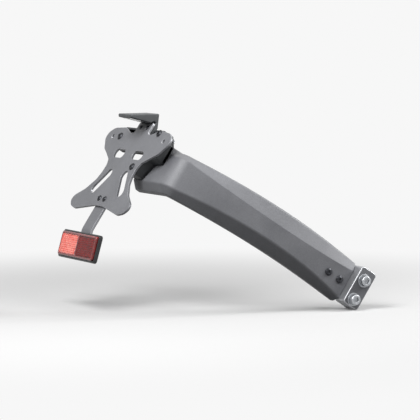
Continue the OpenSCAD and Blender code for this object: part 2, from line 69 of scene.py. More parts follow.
# Thickness of the mount block's tongue, and the place of the carrier's centre in the raked frame
TONGUE_T = 5.0
CARRIER_AT = (-143.0, -14.0, 278.0)

TO_ROW = Matrix.Scale(MM, 4)
RAKED = TO_ROW @ Matrix.Translation((TONGUE_T, 0, 0)) @ Matrix.Rotation(math.pi / 2 - RAKE, 4, "X")
ON_CARRIER = RAKED @ Matrix.Translation(CARRIER_AT)
# Upright axes at the carrier's centre: x right, y to the front, z up
UPRIGHT = ON_CARRIER @ Matrix.Rotation(RAKE - math.pi / 2, 4, "X")
FACING_OUT = Matrix.Rotation(math.pi / 2, 4, "Y")


def out_of_arm(x, y, z):
    """Place in the raked frame whose own z points out to the right."""
    return RAKED @ Matrix.Translation((x, y, z)) @ FACING_OUT


def on_carrier(spots, z=0.0):
    """Places at spots of the carrier, z over its rear face."""
    return [ON_CARRIER @ Matrix.Translation((x, y, z)) for x, y in spots]


# Small geometry helpers, all in millimetres

def circle(x, y, r, count=48):
    """Closed loop round (x, y), counter-clockwise."""
    turn = math.tau / count
    return [Vector((x + r * math.cos(i * turn), y + r * math.sin(i * turn))) for i in range(count)]


def rectangle(w, h, x=0.0, y=0.0):
    """Corners of a rectangle centred on (x, y), counter-clockwise."""
    return [Vector((x + sx * w / 2, y + sy * h / 2)) for sx, sy in ((1, -1), (1, 1), (-1, 1), (-1, -1))]


def long_slot(a, b, w, steps=12):
    """Closed loop of a slot of width w between two points, counter-clockwise."""
    a, b = Vector(a), Vector(b)
    lean = math.atan2(b.y - a.y, b.x - a.x)
    loop = []
    for centre, start in ((b, lean - math.pi / 2), (a, lean + math.pi / 2)):
        for i in range(steps + 1):
            t = start + math.pi * i / steps
            loop.append(centre + Vector((math.cos(t), math.sin(t))) * w / 2)
    return loop


def corner_arc(a, b, c, r, steps):
    """Arc that rounds the corner at b between a and c, no longer than the two edges allow."""
    u, w = (a - b).normalized(), (c - b).normalized()
    half = u.angle(w) / 2
    if half > math.radians(89.5):
        return [b.copy()]
    room = 0.48 * min((a - b).length, (c - b).length)
    reach = min(r / math.tan(half), room)
    r = reach * math.tan(half)
    centre = b + (u + w).normalized() * r / math.sin(half)
    start, finish = b + u * reach - centre, b + w * reach - centre
    turn = (math.atan2(finish.y, finish.x) - math.atan2(start.y, start.x) + math.pi) % math.tau - math.pi
    first = math.atan2(start.y, start.x)
    return [centre + Vector((math.cos(first + turn * i / steps), math.sin(first + turn * i / steps))) * r
            for i in range(steps + 1)]


def rounded(points, radii, steps):
    """Closed loop with each corner rounded by its own radius."""
    loop = []
    for i, p in enumerate(points):
        loop += corner_arc(points[i - 1], p, points[(i + 1) % len(points)], radii[i], steps)
    return loop


def softened(points, outer, inner, steps=6, gentle=0.0):
    """Counter-clockwise loop with its outer and inner corners rounded. Corners that turn less
    than gentle get a larger radius, so that the outline flows."""
    points = [Vector(p) for p in points]
    radii = []
    for i, p in enumerate(points):
        u, w = p - points[i - 1], points[(i + 1) % len(points)] - p
        radius = outer if u.x * w.y - u.y * w.x > 0 else inner
        radii.append(radius * max(1.0, gentle / u.angle(w)))
    return rounded(points, radii, steps)


def inset(loop, d):
    """Loop moved to its left by d, which is inward where it runs counter-clockwise."""
    moved = []
    for i, p in enumerate(loop):
        u, w = (p - loop[i - 1]).normalized(), (loop[(i + 1) % len(loop)] - p).normalized()
        n, m = Vector((-u.y, u.x)), Vector((-w.y, w.x))
        moved.append(p + (n + m) * d / max(1 + n.dot(m), 0.3))
    return moved


def bridge(bm, rows, closed=False, finish=0):
    """Quads between rows of vertices that each run once round. Returns the faces."""
    faces = []
    pairs = list(zip(rows, rows[1:]))
    if closed:
        pairs.append((rows[-1], rows[0]))
    for low, high in pairs:
        count = len(low)
        for i in range(count):
            j = (i + 1) % count
            faces.append(bm.faces.new((low[i], low[j], high[j], high[i])))
    for face in faces:
        face.material_index = finish
    return faces


def row_of(bm, loop, z, place):
    return [bm.verts.new(place @ Vector((p.x, p.y, z))) for p in loop]


def edge_profile(t, edge, steps=3):
    """(inset, height) pairs from the lower face round both edges to the upper face."""
    low = [(edge * (1 - math.sin(a)), edge * (1 - math.cos(a)))
           for a in (math.pi / 2 * i / steps for i in range(steps + 1))]
    return low + [(d, t - z) for d, z in reversed(low)]


def plate(bm, outline, holes, t, edge, place, finish=0, rim=None):
    """Flat plate from z = 0 to t with rounded edges. Holes run clockwise in the finished plate."""
    rim = finish if rim is None else rim
    lower, upper = [], []
    for loop in [outline] + [list(reversed(h)) for h in holes]:
        rows = [row_of(bm, inset(loop, d), z, place) for d, z in edge_profile(t, edge)]
        bridge(bm, rows, finish=rim)
        lower.append(rows[0])
        upper.append(rows[-1])
    for rows in (lower, upper):
        fill_between(bm, rows, finish)


def fill_between(bm, rows, finish=0):
    """Flat face inside the first row of vertices, with the other rows as its holes."""
    edges = [bm.edges.get((row[i - 1], row[i])) for row in rows for i in range(len(row))]
    fill = bmesh.ops.triangle_fill(bm, edges=edges, use_beauty=True)
    for face in fill["geom"]:
        if isinstance(face, bmesh.types.BMFace):
            face.material_index = finish


def stack(bm, levels, place, cap_last=True):
    """Walls through (loop, z) levels, with a flat face over the first and, if wanted, the last."""
    rows = [row_of(bm, loop, z, place) for loop, z in levels]
    bridge(bm, rows)
    bm.faces.new(list(reversed(rows[0])))
    if cap_last:
        bm.faces.new(rows[-1])
    return rows


def hexagon(flats):
    """Radius of a hexagon of that width across its flats, at an angle."""
    def radius(a):
        return flats / 2 / math.cos((a + math.pi / 6) % (math.pi / 3) - math.pi / 6)
    return radius


def turned(bm, rings, place, count=72, closed=False, finish=0):
    """Turned surface through rings. A ring is (r, z), or a function of the angle that gives them."""
    rows = []
    for ring in rings:
        row = []
        for i in range(count):
            a = math.tau * i / count
            r, z = ring(a) if callable(ring) else ring
            row.append(bm.verts.new(place @ Vector((r * math.cos(a), r * math.sin(a), z))))
        rows.append(row)
    faces = bridge(bm, rows, closed, finish)
    if not closed:
        for row in (list(reversed(rows[0])), rows[-1]):
            bm.faces.new(row).material_index = finish
    return faces


def thread(r, pitch, low, high):
    """Rings of a 60 degree thread from z = low to high, fading out at both ends."""
    depth = 0.427 * pitch
    per_turn = 6
    count = max(2, round((high - low) / pitch * per_turn))

    def ring(z):
        fade = min(1.0, (z - low) / pitch, (high - z) / pitch)

        def at(a):
            phase = (z / pitch - a / math.tau) % 1
            return r - depth * fade * (1 - abs(2 * phase - 1)), z
        return at
    return [ring(low + (high - low) * i / count) for i in range(count + 1)]


def shank(m, length, threaded, plain_r=None):
    """Rings from the pointed end of a screw up to its seat, with a plain stretch above the thread."""
    pitch = {8: 1.25, 6: 1.0, 5: 0.8, 4: 0.7, 3: 0.5}[round(m)]
    r, end = m / 2, -length
    return ([(0.25 * m, end), (r - 0.12 * m, end + 0.02 * m)]
            + thread(r, pitch, end + 0.12 * m, end + 0.12 * m + threaded)
            + [(plain_r or r, end + 0.14 * m + threaded), (plain_r or r, 0)])


def hex_socket(rim_r, flats, top, depth):
    """Rings from the head's flat face into a hexagonal socket."""
    flat = hexagon(flats)
    return [(rim_r, top),
            lambda a: (flat(a) + 0.18, top),
            lambda a: (flat(a), top - 0.18),
            lambda a: (flat(a), top - depth),
            (flats * 0.2, top - depth - 0.12 * flats)]


def button_screw(bm, m, length, place, threaded=3.0):
    head_r, head_h, edge_h, flat_r = 0.95 * m, 0.55 * m, 0.12 * m, 0.45 * m
    rise = head_h - edge_h
    dome_r = (head_r ** 2 + rise ** 2) / (2 * rise)
    dome = []
    for i in range(9):
        x = head_r + (flat_r - head_r) * i / 8
        dome.append((x, head_h - dome_r + math.sqrt(dome_r ** 2 - x * x)))
    rings = (shank(m, length, threaded) + [(head_r - 0.05 * m, 0), (head_r, 0.05 * m)] + dome
             + hex_socket(flat_r - 0.1, 0.6 * m, dome[-1][1], 0.3 * m))
    turned(bm, rings, place)


def cap_screw(bm, m, length, place, threaded):
    """Socket head screw with a straight-knurled head."""
    head_r, head_h = (1.5 * m + 1) / 2, 0.8 * m
    teeth = 45

    def knurl(z):
        def at(a):
            step = (a * teeth / math.tau) % 1
            return head_r - 0.28 * abs(2 * step - 1), z
        return at
    rings = (shank(m, length, threaded, plain_r=0.45 * m)
             + [(head_r - 0.7, 0), (head_r - 0.3, 0.3), knurl(0.7), knurl(head_h - 1.5),
                (head_r - 0.25, head_h - 1.1), (head_r - 0.35, head_h - 0.8),
                (head_r - 0.95, head_h - 0.12), (head_r - 1.2, head_h)]
             + hex_socket(head_r - 1.6, 0.75 * m, head_h, head_h / 2))
    turned(bm, rings, place, count=180)


def lock_nut(bm, m, place):
    """Hexagon nut below its seat at z = 0, with a nylon ring in its collar."""
    flat = hexagon(1.65 * m)
    body, whole = 0.8 * m, m
    inner = 0.8 * m
    slope = math.tan(math.radians(30))

    def corner(z, way):
        return lambda a: (flat(a), z - way * max(0.0, flat(a) - inner) * slope)
    turned(bm, [(m / 2 - 0.05, -whole), (m / 2 - 0.05, -0.4), (m / 2 + 0.25, 0), (inner, 0),
                corner(-0.05, 1), corner(-body + 0.05, -1), (inner, -body), (0.77 * m, -body - 0.02),
                (0.74 * m, -whole + 0.35), (0.66 * m, -whole + 0.05), (0.6 * m, -whole)], place)
    nylon_ring = [(m / 2 - 0.02, -whole + 0.1), (m / 2, -whole - 0.01),
                  (0.6 * m, -whole - 0.01), (0.61 * m, -whole + 0.1)]
    turned(bm, nylon_ring, place, closed=True, finish=1)


def washer(bm, m, t, place):
    low, high, soft = m / 2 + 0.3, float(m), 0.15 * t
    turned(bm, [(low, soft), (low + soft, 0), (high - soft, 0), (high, soft),
                (high, t - soft), (high - soft, t), (low + soft, t), (low, t - soft)],
           place, closed=True)


# Materials

def srgb(code, alpha=1.0):
    """Linear colour of an sRGB hex value."""
    levels = [int(code[i:i + 2], 16) / 255 for i in (1, 3, 5)]
    return tuple(v / 12.92 if v <= 0.04045 else ((v + 0.055) / 1.055) ** 2.4 for v in levels) + (alpha,)


def add(tree, kind, inputs=None, stops=(), **settings):
    """Adds a node with its settings, the two stops of its ramp, and its inputs. An input is a
    value, a socket to link, or a node whose first output is linked."""
    node = tree.nodes.new(kind)
    for key, value in settings.items():
        setattr(node, key, value)
    for i, (place, colour) in enumerate(stops):
        element = node.color_ramp.elements[i]
        element.position, element.color = place, colour
    for key, value in (inputs or {}).items():
        if isinstance(value, bpy.types.Node):
            value = value.outputs[0]
        if isinstance(value, bpy.types.NodeSocket):
            tree.links.new(value, node.inputs[key])
        else:
            node.inputs[key].default_value = value
    return node


def blank(name):
    """New material with an empty node tree."""
    made = bpy.data.materials.new(name)
    made.use_nodes = True
    made.node_tree.nodes.clear()
    return made, made.node_tree


def finish_with(tree, inputs):
    """Ends a material in one Principled shader."""
    shader = add(tree, "ShaderNodeBsdfPrincipled", inputs)
    add(tree, "ShaderNodeOutputMaterial", {"Surface": shader})


def per_mm(size):
    """Texture scale at which one feature is about that many millimetres wide."""
    return 1 / (size * MM)


def bands_mm(size):
    """Scale at which the wave texture's bands are that many millimetres apart."""
    return per_mm(size) * math.tau / 20


def grey(v):
    """Stop of a ramp that gives a level or a factor, not a colour."""
    return (v, v, v, 1.0)


def coated_metal(name, base, light, metallic, rough, peel_mm, peel, dust):
    """Powder coat: baked polyester powder over aluminium. It melts into a fine orange peel, its metallic
    flake glints a little as painted glints in the colour, and handling leaves faint cloudy smears."""
    made, tree = blank(name)
    at = add(tree, "ShaderNodeTexCoord").outputs["Object"]
    clouds = add(tree, "ShaderNodeTexNoise", {"Vector": at, "Scale": per_mm(38), "Detail": 4.0})
    # Real flakes are about 0.03 mm wide, too fine to show, so they are drawn 0.7 mm wide
    flake = add(tree, "ShaderNodeTexVoronoi", {"Vector": at, "Scale": per_mm(0.7)})
    skin = add(tree, "ShaderNodeTexNoise", {"Vector": at, "Scale": per_mm(peel_mm), "Detail": 3.0})
    tone = add(tree, "ShaderNodeValToRGB", {0: clouds}, stops=[(0.3, srgb(base)), (0.72, srgb(light))])
    # Painted glints: at random, some flake cells make the colour a little lighter and some a little
    # darker
    glint = add(tree, "ShaderNodeValToRGB", {0: flake.outputs["Color"]},
                stops=[(0.1, grey(0.88)), (0.9, grey(1.12))])
    colour = add(tree, "ShaderNodeMix", {0: 0.8, 6: tone, 7: glint}, data_type="RGBA",
                 blend_type="MULTIPLY")
    facing = add(tree, "ShaderNodeNewGeometry").outputs["Normal"]
    up = add(tree, "ShaderNodeSeparateXYZ", {0: facing}).outputs["Z"]
    settled = add(tree, "ShaderNodeValToRGB", {0: up}, stops=[(0.55, grey(0.0)), (1.0, grey(dust))])
    dusty = add(tree, "ShaderNodeMix", {0: settled, 6: colour.outputs[2], 7: srgb("#a9a59c")},
                data_type="RGBA")
    smears = add(tree, "ShaderNodeValToRGB", {0: clouds},
                 stops=[(0.25, grey(rough - 0.06)), (0.75, grey(rough + 0.08))])
    bump = add(tree, "ShaderNodeBump", {"Height": skin, "Strength": peel, "Distance": 0.05 * MM})
    finish_with(tree, {"Base Color": dusty.outputs[2], "Metallic": metallic, "Roughness": smears,
                       "IOR": 1.5, "Normal": bump})
    return made


def graphite_coat_and_painted_sheen(colours):
    """Satin graphite coat: dark grey with a soft sheen. Its grey is a near-black satin coat painted
    lighter, partly as painted sheen.
    """
    return coated_metal("Graphite powder coat, satin, on aluminium", colours.coat_dark,
                        colours.coat_light, 0.05, 0.5, 1.1, 0.35, 0.08)


def thin_edge_coat_painted_highlight(colours):
    """The same coat along edges, where it lies thinner and shines from handling, and is painted lighter
    as a painted edge highlight.
    """
    return coated_metal("Graphite powder coat, thin at the edges", colours.coat_light, colours.edge,
                        0.3, 0.4, 1.1, 0.2, 0.04)


def bracket_coat_painted_shade(colours):
    """Fine-textured black coat: it breaks the gloss up into a dry grain. Its near-black tone is partly
    painted shade of the gap between the carrier and the arm's flange.
    """
    return coated_metal("Black powder coat, fine texture, on cast aluminium", colours.black_coat,
                        "#1f2225", 0.0, 0.55, 0.6, 0.7, 0.03)


def machined_aluminium(colours):
    """Aluminium, saw-cut and milled: bright, with cutter marks 0.8 mm apart across the edge."""
    made, tree = blank("Aluminium, milled edge")
    at = add(tree, "ShaderNodeTexCoord").outputs["Object"]
    marks = add(tree, "ShaderNodeTexWave", {"Vector": at, "Scale": bands_mm(0.8), "Distortion": 1.5,
                                            "Detail": 2.0, "Detail Scale": 3.0}, bands_direction="X")
    tone = add(tree, "ShaderNodeValToRGB", {0: marks},
               stops=[(0.0, srgb("#a6a7aa")), (1.0, srgb("#babbbe"))])
    bump = add(tree, "ShaderNodeBump", {"Height": marks, "Strength": 0.12, "Distance": 0.03 * MM})
    finish_with(tree, {"Base Color": tone, "Metallic": 0.9, "Roughness": 0.42, "Normal": bump})
    return made


def stainless_steel(colours):
    """Stainless A2, cold headed and tumbled: pale, with a soft gloss that clouds a little."""
    made, tree = blank("Stainless steel, tumbled")
    at = add(tree, "ShaderNodeTexCoord").outputs["Object"]
    grain = add(tree, "ShaderNodeTexNoise", {"Vector": at, "Scale": per_mm(3.0), "Detail": 5.0})
    tone = add(tree, "ShaderNodeValToRGB", {0: grain},
               stops=[(0.3, srgb(colours.steel)), (0.7, srgb("#b4b6b9"))])
    rough = add(tree, "ShaderNodeValToRGB", {0: grain}, stops=[(0.3, grey(0.32)), (0.7, grey(0.42))])
    bump = add(tree, "ShaderNodeBump", {"Height": grain, "Strength": 0.05, "Distance": 0.02 * MM})
    finish_with(tree, {"Base Color": tone, "Metallic": 1.0, "Roughness": rough, "Normal": bump})
    return made


def black_zinc(colours):
    """Steel plated in black zinc-nickel: near black with a warm grey bloom, satin."""
    made, tree = blank("Steel, black zinc-nickel plated")
    at = add(tree, "ShaderNodeTexCoord").outputs["Object"]
    bloom = add(tree, "ShaderNodeTexNoise", {"Vector": at, "Scale": per_mm(1.8), "Detail": 4.0})
    tone = add(tree, "ShaderNodeValToRGB", {0: bloom},
               stops=[(0.35, srgb("#26272a")), (0.75, srgb("#45464a"))])
    rough = add(tree, "ShaderNodeValToRGB", {0: bloom}, stops=[(0.3, grey(0.3)), (0.7, grey(0.44))])
    finish_with(tree, {"Base Color": tone, "Metallic": 0.85, "Roughness": rough})
    return made


def nylon(colours):
    """Nylon 6 ring, natural white: cut clean, slightly waxy."""
    made, tree = blank("Nylon, turned ring")
    at = add(tree, "ShaderNodeTexCoord").outputs["Object"]
    # Real tool marks are about 0.1 mm wide, too fine to show, so they are drawn 0.6 mm wide
    cut = add(tree, "ShaderNodeTexNoise", {"Vector": at, "Scale": per_mm(0.6)})
    tone = add(tree, "ShaderNodeValToRGB", {0: cut},
               stops=[(0.3, srgb("#c9c5b4")), (0.7, srgb("#dedbcc"))])
    finish_with(tree, {"Base Color": tone, "Roughness": 0.45, "IOR": 1.53})
    return made


def moulded_plastic(colours):
    """Glass-filled nylon, injection moulded with a spark-eroded grain that dulls its gloss."""
    made, tree = blank("Nylon, glass filled, moulded with a fine grain")
    at = add(tree, "ShaderNodeTexCoord").outputs["Object"]
    # The real grain is about 0.1 mm wide, too fine to show, so it is drawn 0.6 mm wide
    grain = add(tree, "ShaderNodeTexVoronoi", {"Vector": at, "Scale": per_mm(0.6)}, feature="SMOOTH_F1")
    fade = add(tree, "ShaderNodeTexNoise", {"Vector": at, "Scale": per_mm(14), "Detail": 3.0})
    tone = add(tree, "ShaderNodeValToRGB", {0: fade},
               stops=[(0.3, srgb(colours.plastic)), (0.75, srgb("#4d4f51"))])
    bump = add(tree, "ShaderNodeBump", {"Height": grain.outputs["Distance"], "Strength": 0.45,
                                        "Distance": 0.06 * MM})
    finish_with(tree, {"Base Color": tone, "Roughness": 0.5, "IOR": 1.53, "Normal": bump})
    return made


def black_abs(colours):
    """ABS, injection moulded: deep black with a soft gloss."""
    made, tree = blank("ABS, moulded, satin black")
    at = add(tree, "ShaderNodeTexCoord").outputs["Object"]
    flow = add(tree, "ShaderNodeTexNoise", {"Vector": at, "Scale": per_mm(9), "Detail": 3.0})
    tone = add(tree, "ShaderNodeValToRGB", {0: flow},
               stops=[(0.3, srgb("#141516")), (0.75, srgb("#232427"))])
    rough = add(tree, "ShaderNodeValToRGB", {0: flow}, stops=[(0.3, grey(0.3)), (0.7, grey(0.4))])
    finish_with(tree, {"Base Color": tone, "Roughness": rough, "IOR": 1.54})
    return made


def rubber(colours):
    """EPDM, compression moulded: matt, with a greyish bloom."""
    made, tree = blank("EPDM rubber, moulded")
    at = add(tree, "ShaderNodeTexCoord").outputs["Object"]
    bloom = add(tree, "ShaderNodeTexNoise", {"Vector": at, "Scale": per_mm(2.5), "Detail": 4.0})
    tone = add(tree, "ShaderNodeValToRGB", {0: bloom},
               stops=[(0.35, srgb("#161616")), (0.8, srgb("#2d2d2c"))])
    finish_with(tree, {"Base Color": tone, "Roughness": 0.72, "IOR": 1.52})
    return made


def clear_polycarbonate(colours):
    """Polycarbonate, moulded clear, with flutes 2 mm apart that spread the light."""
    made, tree = blank("Polycarbonate, clear, fluted")
    at = add(tree, "ShaderNodeTexCoord").outputs["Object"]
    flutes = add(tree, "ShaderNodeTexWave", {"Vector": at, "Scale": bands_mm(2.0)},
                 bands_direction="X", wave_profile="SIN")
    rough = add(tree, "ShaderNodeValToRGB", {0: flutes}, stops=[(0.0, grey(0.05)), (1.0, grey(0.12))])
    bump = add(tree, "ShaderNodeBump", {"Height": flutes, "Strength": 0.5, "Distance": 0.3 * MM})
    finish_with(tree, {"Base Color": srgb("#eef3f5"), "Roughness": rough, "IOR": 1.585,
                       "Transmission Weight": 1.0, "Normal": bump})
    return made


def solder_mask(colours):
    """Glass-epoxy board under white solder mask, with tinned pads in a 4 mm pattern."""
    made, tree = blank("Glass-epoxy board, white solder mask")
    at = add(tree, "ShaderNodeTexCoord").outputs["Object"]
    pads = add(tree, "ShaderNodeTexBrick", {"Vector": at, "Scale": per_mm(4.0), "Mortar Size": 0.06,
                                            "Color1": srgb("#e9e7dc"), "Color2": srgb("#e2e0d4"),
                                            "Mortar": srgb("#b9b6a5")})
    finish_with(tree, {"Base Color": pads, "Roughness": 0.38, "IOR": 1.55})
    return made


def phosphor(colours):
    """Silicone over the light-emitting chip, yellow with phosphor, soft gloss."""
    made, tree = blank("Silicone with yellow phosphor")
    at = add(tree, "ShaderNodeTexCoord").outputs["Object"]
    settled = add(tree, "ShaderNodeTexNoise", {"Vector": at, "Scale": per_mm(0.8)})
    tone = add(tree, "ShaderNodeValToRGB", {0: settled},
               stops=[(0.3, srgb("#d8b62a")), (0.7, srgb("#efd35a"))])
    finish_with(tree, {"Base Color": tone, "Roughness": 0.3, "IOR": 1.42})
    return made


def red_acrylic(name, dark, light, rough, coat):
    """Acrylic, injection moulded and transparent red, backed by prism cells: glossy, with a tone
    that changes a little from cell to cell."""
    made, tree = blank(name)
    at = add(tree, "ShaderNodeTexCoord").outputs["Object"]
    cells = add(tree, "ShaderNodeTexVoronoi", {"Vector": at, "Scale": per_mm(2.6)})
    depth = add(tree, "ShaderNodeTexNoise", {"Vector": at, "Scale": per_mm(22), "Detail": 2.0})
    both = add(tree, "ShaderNodeMix", {0: 0.45, 6: cells.outputs["Color"], 7: depth}, data_type="RGBA")
    tone = add(tree, "ShaderNodeValToRGB", {0: both.outputs[2]},
               stops=[(0.25, srgb(dark)), (0.75, srgb(light))])
    finish_with(tree, {"Base Color": tone, "Roughness": rough, "IOR": 1.49, "Coat Weight": coat,
                       "Coat Roughness": 0.06, "Coat IOR": 1.49})
    return made


def acrylic_body(colours):
    """The lens's smooth border and bar: deep red under a wet-looking gloss."""
    return red_acrylic("Red acrylic, smooth edge", colours.lens_dark, colours.lens_mid, 0.15, 0.5)


def acrylic_painted_reflection(colours):
    """The bank painted as if its cells send the light back: a painted reflection, bright, pinkish red.
    """
    return red_acrylic("Red acrylic over cells that return the light", colours.lens_painted_reflection, "#ff9c8e",
                       0.3, 0.3)


def acrylic_painted_shade(colours):
    """The bank painted as if its cells are turned away from the eye: painted shade, dark, dull red."""
    return red_acrylic("Red acrylic over cells turned away", "#4a0606", "#7c0f0e", 0.4, 0.05)


# Settings

def length(name, description, default):
    """A size in metres, shown in the scene's unit."""
    return bpy.props.FloatProperty(name=name, description=description, default=default * MM,
                                   unit="LENGTH", precision=5, min=0.0)


def tint(name, description, default):
    return bpy.props.StringProperty(name=name, description=description, default=default, maxlen=7)


class TidyArm(bpy.types.PropertyGroup):
    """Sizes of the arm"""
    wall: length("Wall", "Thickness of the folded sheet", 3.0)
    crease: length("Crease radius", "Outer radius of the folds", 4.0)
    straight: length("Straight", "Straight stretch behind the mount block", 44.0)
    bend: length("Bend radius", "Outer radius of the bend behind the tyre", 22.0)
    edge: length("Edge", "Rounding of the sheet's edges under the coat", 0.7)
    turn: bpy.props.FloatProperty(name="Turn", description="Angle turned inward before the bend",
                                  default=math.radians(25), subtype="ANGLE")


class TidyCarrier(bpy.types.PropertyGroup):
    """Sizes of the carrier and its bracket"""
    sheet: length("Sheet", "Thickness of the carrier and the stem", 3.0)
    edge: length("Edge", "Rounding of the sheet's edges under the coat", 0.5)
    corner: length("Corner", "Rounding of the carrier's outline", 6.0)
    bracket: length("Bracket depth", "Depth between the arm's flange and the carrier", 14.0)
    web: length("Web", "Thickness of the bracket's web", 4.0)
    rim: length("Rim", "Thickness of the bracket's rim", 3.0)


class TidyReflector(bpy.types.PropertyGroup):
    """Sizes of the reflector"""
    width: length("Width", "Width of the reflector", 100.0)
    height: length("Height", "Height of the reflector", 34.0)
    cell: length("Cell", "Size of a prism cell across its corners", 3.4)


class TidyColours(bpy.types.PropertyGroup):
    """Colours, as sRGB hex values"""
    # The coat's two tones paint a near-black satin coat lighter grey, partly as painted sheen
    coat_dark: tint("Coat, dark", "Darker tone of the graphite coat", "#68696d")
    coat_light: tint("Coat, light", "Lighter tone of the graphite coat", "#77787c")
    # Lighter tone along the edges: thinner coat, and a painted edge highlight
    edge: tint("Edge", "Tone of the coat along edges", "#9a9b9f")
    # Near black, partly painted shade of the gap between the carrier and the arm's flange
    black_coat: tint("Black coat", "Tone of the rear bracket", "#14171a")
    plastic: tint("Plastic", "Tone of the lamp's hood", "#3a3c3e")
    steel: tint("Steel", "Darker tone of the stainless steel", "#999ca0")
    lens_dark: tint("Lens, dark", "Darkest red of the reflector", "#5c0808")
    lens_mid: tint("Lens, middle", "Middle red of the reflector", "#8e1412")
    # Painted reflection: the bright red of the bank whose cells would send the light back
    lens_painted_reflection: tint("Lens, bright", "Red of the bank that returns the light", "#ee5c50")


class TidyStage(bpy.types.PropertyGroup):
    """Light, floor and camera"""
    key: bpy.props.FloatProperty(name="Key light", description="Power of the main soft light",
                                 default=12.5, unit="POWER")
    fill: bpy.props.FloatProperty(name="Fill light", description="Power of the soft light to the right",
                                  default=1.2, unit="POWER")
    rim: bpy.props.FloatProperty(name="Rim light",
                                 description="Power of the soft light in front, on the upper facet",
                                 default=14.0, unit="POWER")
    top: bpy.props.FloatProperty(name="Top light", description="Power of the soft light overhead",
                                 default=6.0, unit="POWER")
    lens: bpy.props.FloatProperty(name="Lens", description="Focal length", default=221.0, unit="CAMERA")


GROUPS = {"tidy_arm": TidyArm, "tidy_carrier": TidyCarrier, "tidy_reflector": TidyReflector,
          "tidy_colours": TidyColours, "tidy_stage": TidyStage}


# Pieces

# Materials made so far, each under its maker
MADE = {}


def material(context, maker):
    """The material of that maker, made once."""
    if maker not in MADE:
        MADE[maker] = maker(context.scene.tidy_colours)
    return MADE[maker]


def add_piece(context, name, bm, makers, nodes, smooth=35):
    """Turns the bmesh into a shown piece on the part's body, in the place of CAD nodes."""
    if not bm.faces:
        raise RuntimeError(f"{name} came out empty")
    bmesh.ops.recalc_face_normals(bm, faces=bm.faces)
    data = bpy.data.meshes.new(name)
    bm.to_mesh(data)
    bm.free()
    data.shade_smooth()
    data.set_sharp_from_angle(angle=math.radians(smooth))
    for maker in makers:
        data.materials.append(material(context, maker))
    piece = bpy.data.objects.new(name, data)
    context.scene.collection.objects.link(piece)
    even = piece.modifiers.new("Even shading", "WEIGHTED_NORMAL")
    even.keep_sharp = True
    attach(piece, "root")
    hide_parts(*nodes)
    return piece


# Folds of the arm's section, from its middle line: at the front, half way and at the bend
ARM_TOP = (29, 32, 27)
ARM_CREASE = (18, 12, 19)
ARM_SIDE = (19, 10, 18)
ARM_LOW = (24, 22, 27)
# How far the lower facet leans in, and the upper one, and how wide the two lips are
ARM_LEAN_LOW = (9, 16, 9)
ARM_LEAN_TOP = 6
ARM_LIP_TOP, ARM_LIP_LOW = 11, 7
# The flange at the arm's rear end: heights at its far end, and where it stands and ends
FLANGE_TOP, FLANGE_CREASE = 42, 36
FLANGE_Z, FLANGE_END_X = 261.0, -131.0
# Rear edge of the mount block, where the arm starts, and the straight part's share of the run
BLOCK_EDGE = 10.5
STRAIGHT_SHARE = 0.2


def through(a, m, b, t):
    """Quadratic through a at t = 0, m at t = 0.5 and b at t = 1."""
    return a * (1 - t) * (1 - 2 * t) + 4 * m * t * (1 - t) + b * t * (2 * t - 1)


def arm_section(t, e, wall, crease_r, edge):
    """Closed section of the folded channel at share t of the run and e of the end flange."""
    def mix(a, b):
        return a + (b - a) * e
    top = mix(through(*ARM_TOP, t), FLANGE_TOP)
    crease = mix(through(*ARM_CREASE, t), FLANGE_CREASE)
    side = through(*ARM_SIDE, t)
    low = through(*ARM_LOW, t)
    lean = through(*ARM_LEAN_LOW, t)
    outer = [Vector(p) for p in ((-ARM_LEAN_TOP - ARM_LIP_TOP, top), (-ARM_LEAN_TOP, top), (0, crease),
                                 (0, -side), (-lean, -low), (-lean - ARM_LIP_LOW, -low))]
    inner = []
    normals = []
    for a, b in zip(outer, outer[1:]):
        d = (b - a).normalized()
        normals.append(Vector((d.y, -d.x)))
    inner.append(outer[0] + wall * normals[0])
    for p, n, m in zip(outer[1:], normals, normals[1:]):
        inner.append(p + wall * (n + m) / (1 + n.dot(m)))
    inner.append(outer[-1] + wall * normals[-1])
    points = outer + list(reversed(inner))
    inside = crease_r - wall
    radii = [edge] + [crease_r] * 4 + [edge, edge] + [inside] * 4 + [edge]
    loop = rounded(points, radii, 5)
    return list(reversed(loop))


def arm_stations(arm):
    """Places along the arm: (share of the run, share of the flange, x, z, facing angle), in mm."""
    wall, bend = arm.wall / MM, arm.bend / MM
    start = BLOCK_EDGE + arm.straight / MM
    bend_z = FLANGE_Z - bend * (1 - math.sin(arm.turn))
    run = bend_z - start
    inward = run * math.tan(arm.turn) / 2
    places = [(0.0, 0.0, wall, BLOCK_EDGE, 0.0),
              (STRAIGHT_SHARE / 2, 0.0, wall, BLOCK_EDGE + 0.5 * (start - BLOCK_EDGE), 0.0)]
    run_steps, bend_steps, flange_steps = 32, 16, 6
    for i in range(run_steps + 1):
        t = i / run_steps
        facing = math.atan(math.tan(arm.turn) * t)
        share = STRAIGHT_SHARE + (1 - STRAIGHT_SHARE) * t
        places.append((share, 0.0, wall - inward * t * t, start + run * t, facing))
    centre_x = wall - inward - bend * math.cos(arm.turn)
    for i in range(1, bend_steps + 1):
        a = arm.turn + (math.pi / 2 - arm.turn) * i / bend_steps
        places.append((1.0, 0.0, centre_x + bend * math.cos(a), FLANGE_Z - bend + bend * math.sin(a), a))
    last_x = places[-1][2]
    for i in range(1, flange_steps + 1):
        t = i / flange_steps
        places.append((1.0, t, last_x + (FLANGE_END_X - last_x) * t, FLANGE_Z, math.pi / 2))
    return places


def channel_end(bm, row):
    """Closes one end of the folded sheet, quad by quad between its outer and its inner face."""
    last = len(row) - 1
    for i in range(last // 2):
        bm.faces.new((row[i], row[i + 1], row[last - i - 1], row[last - i]))


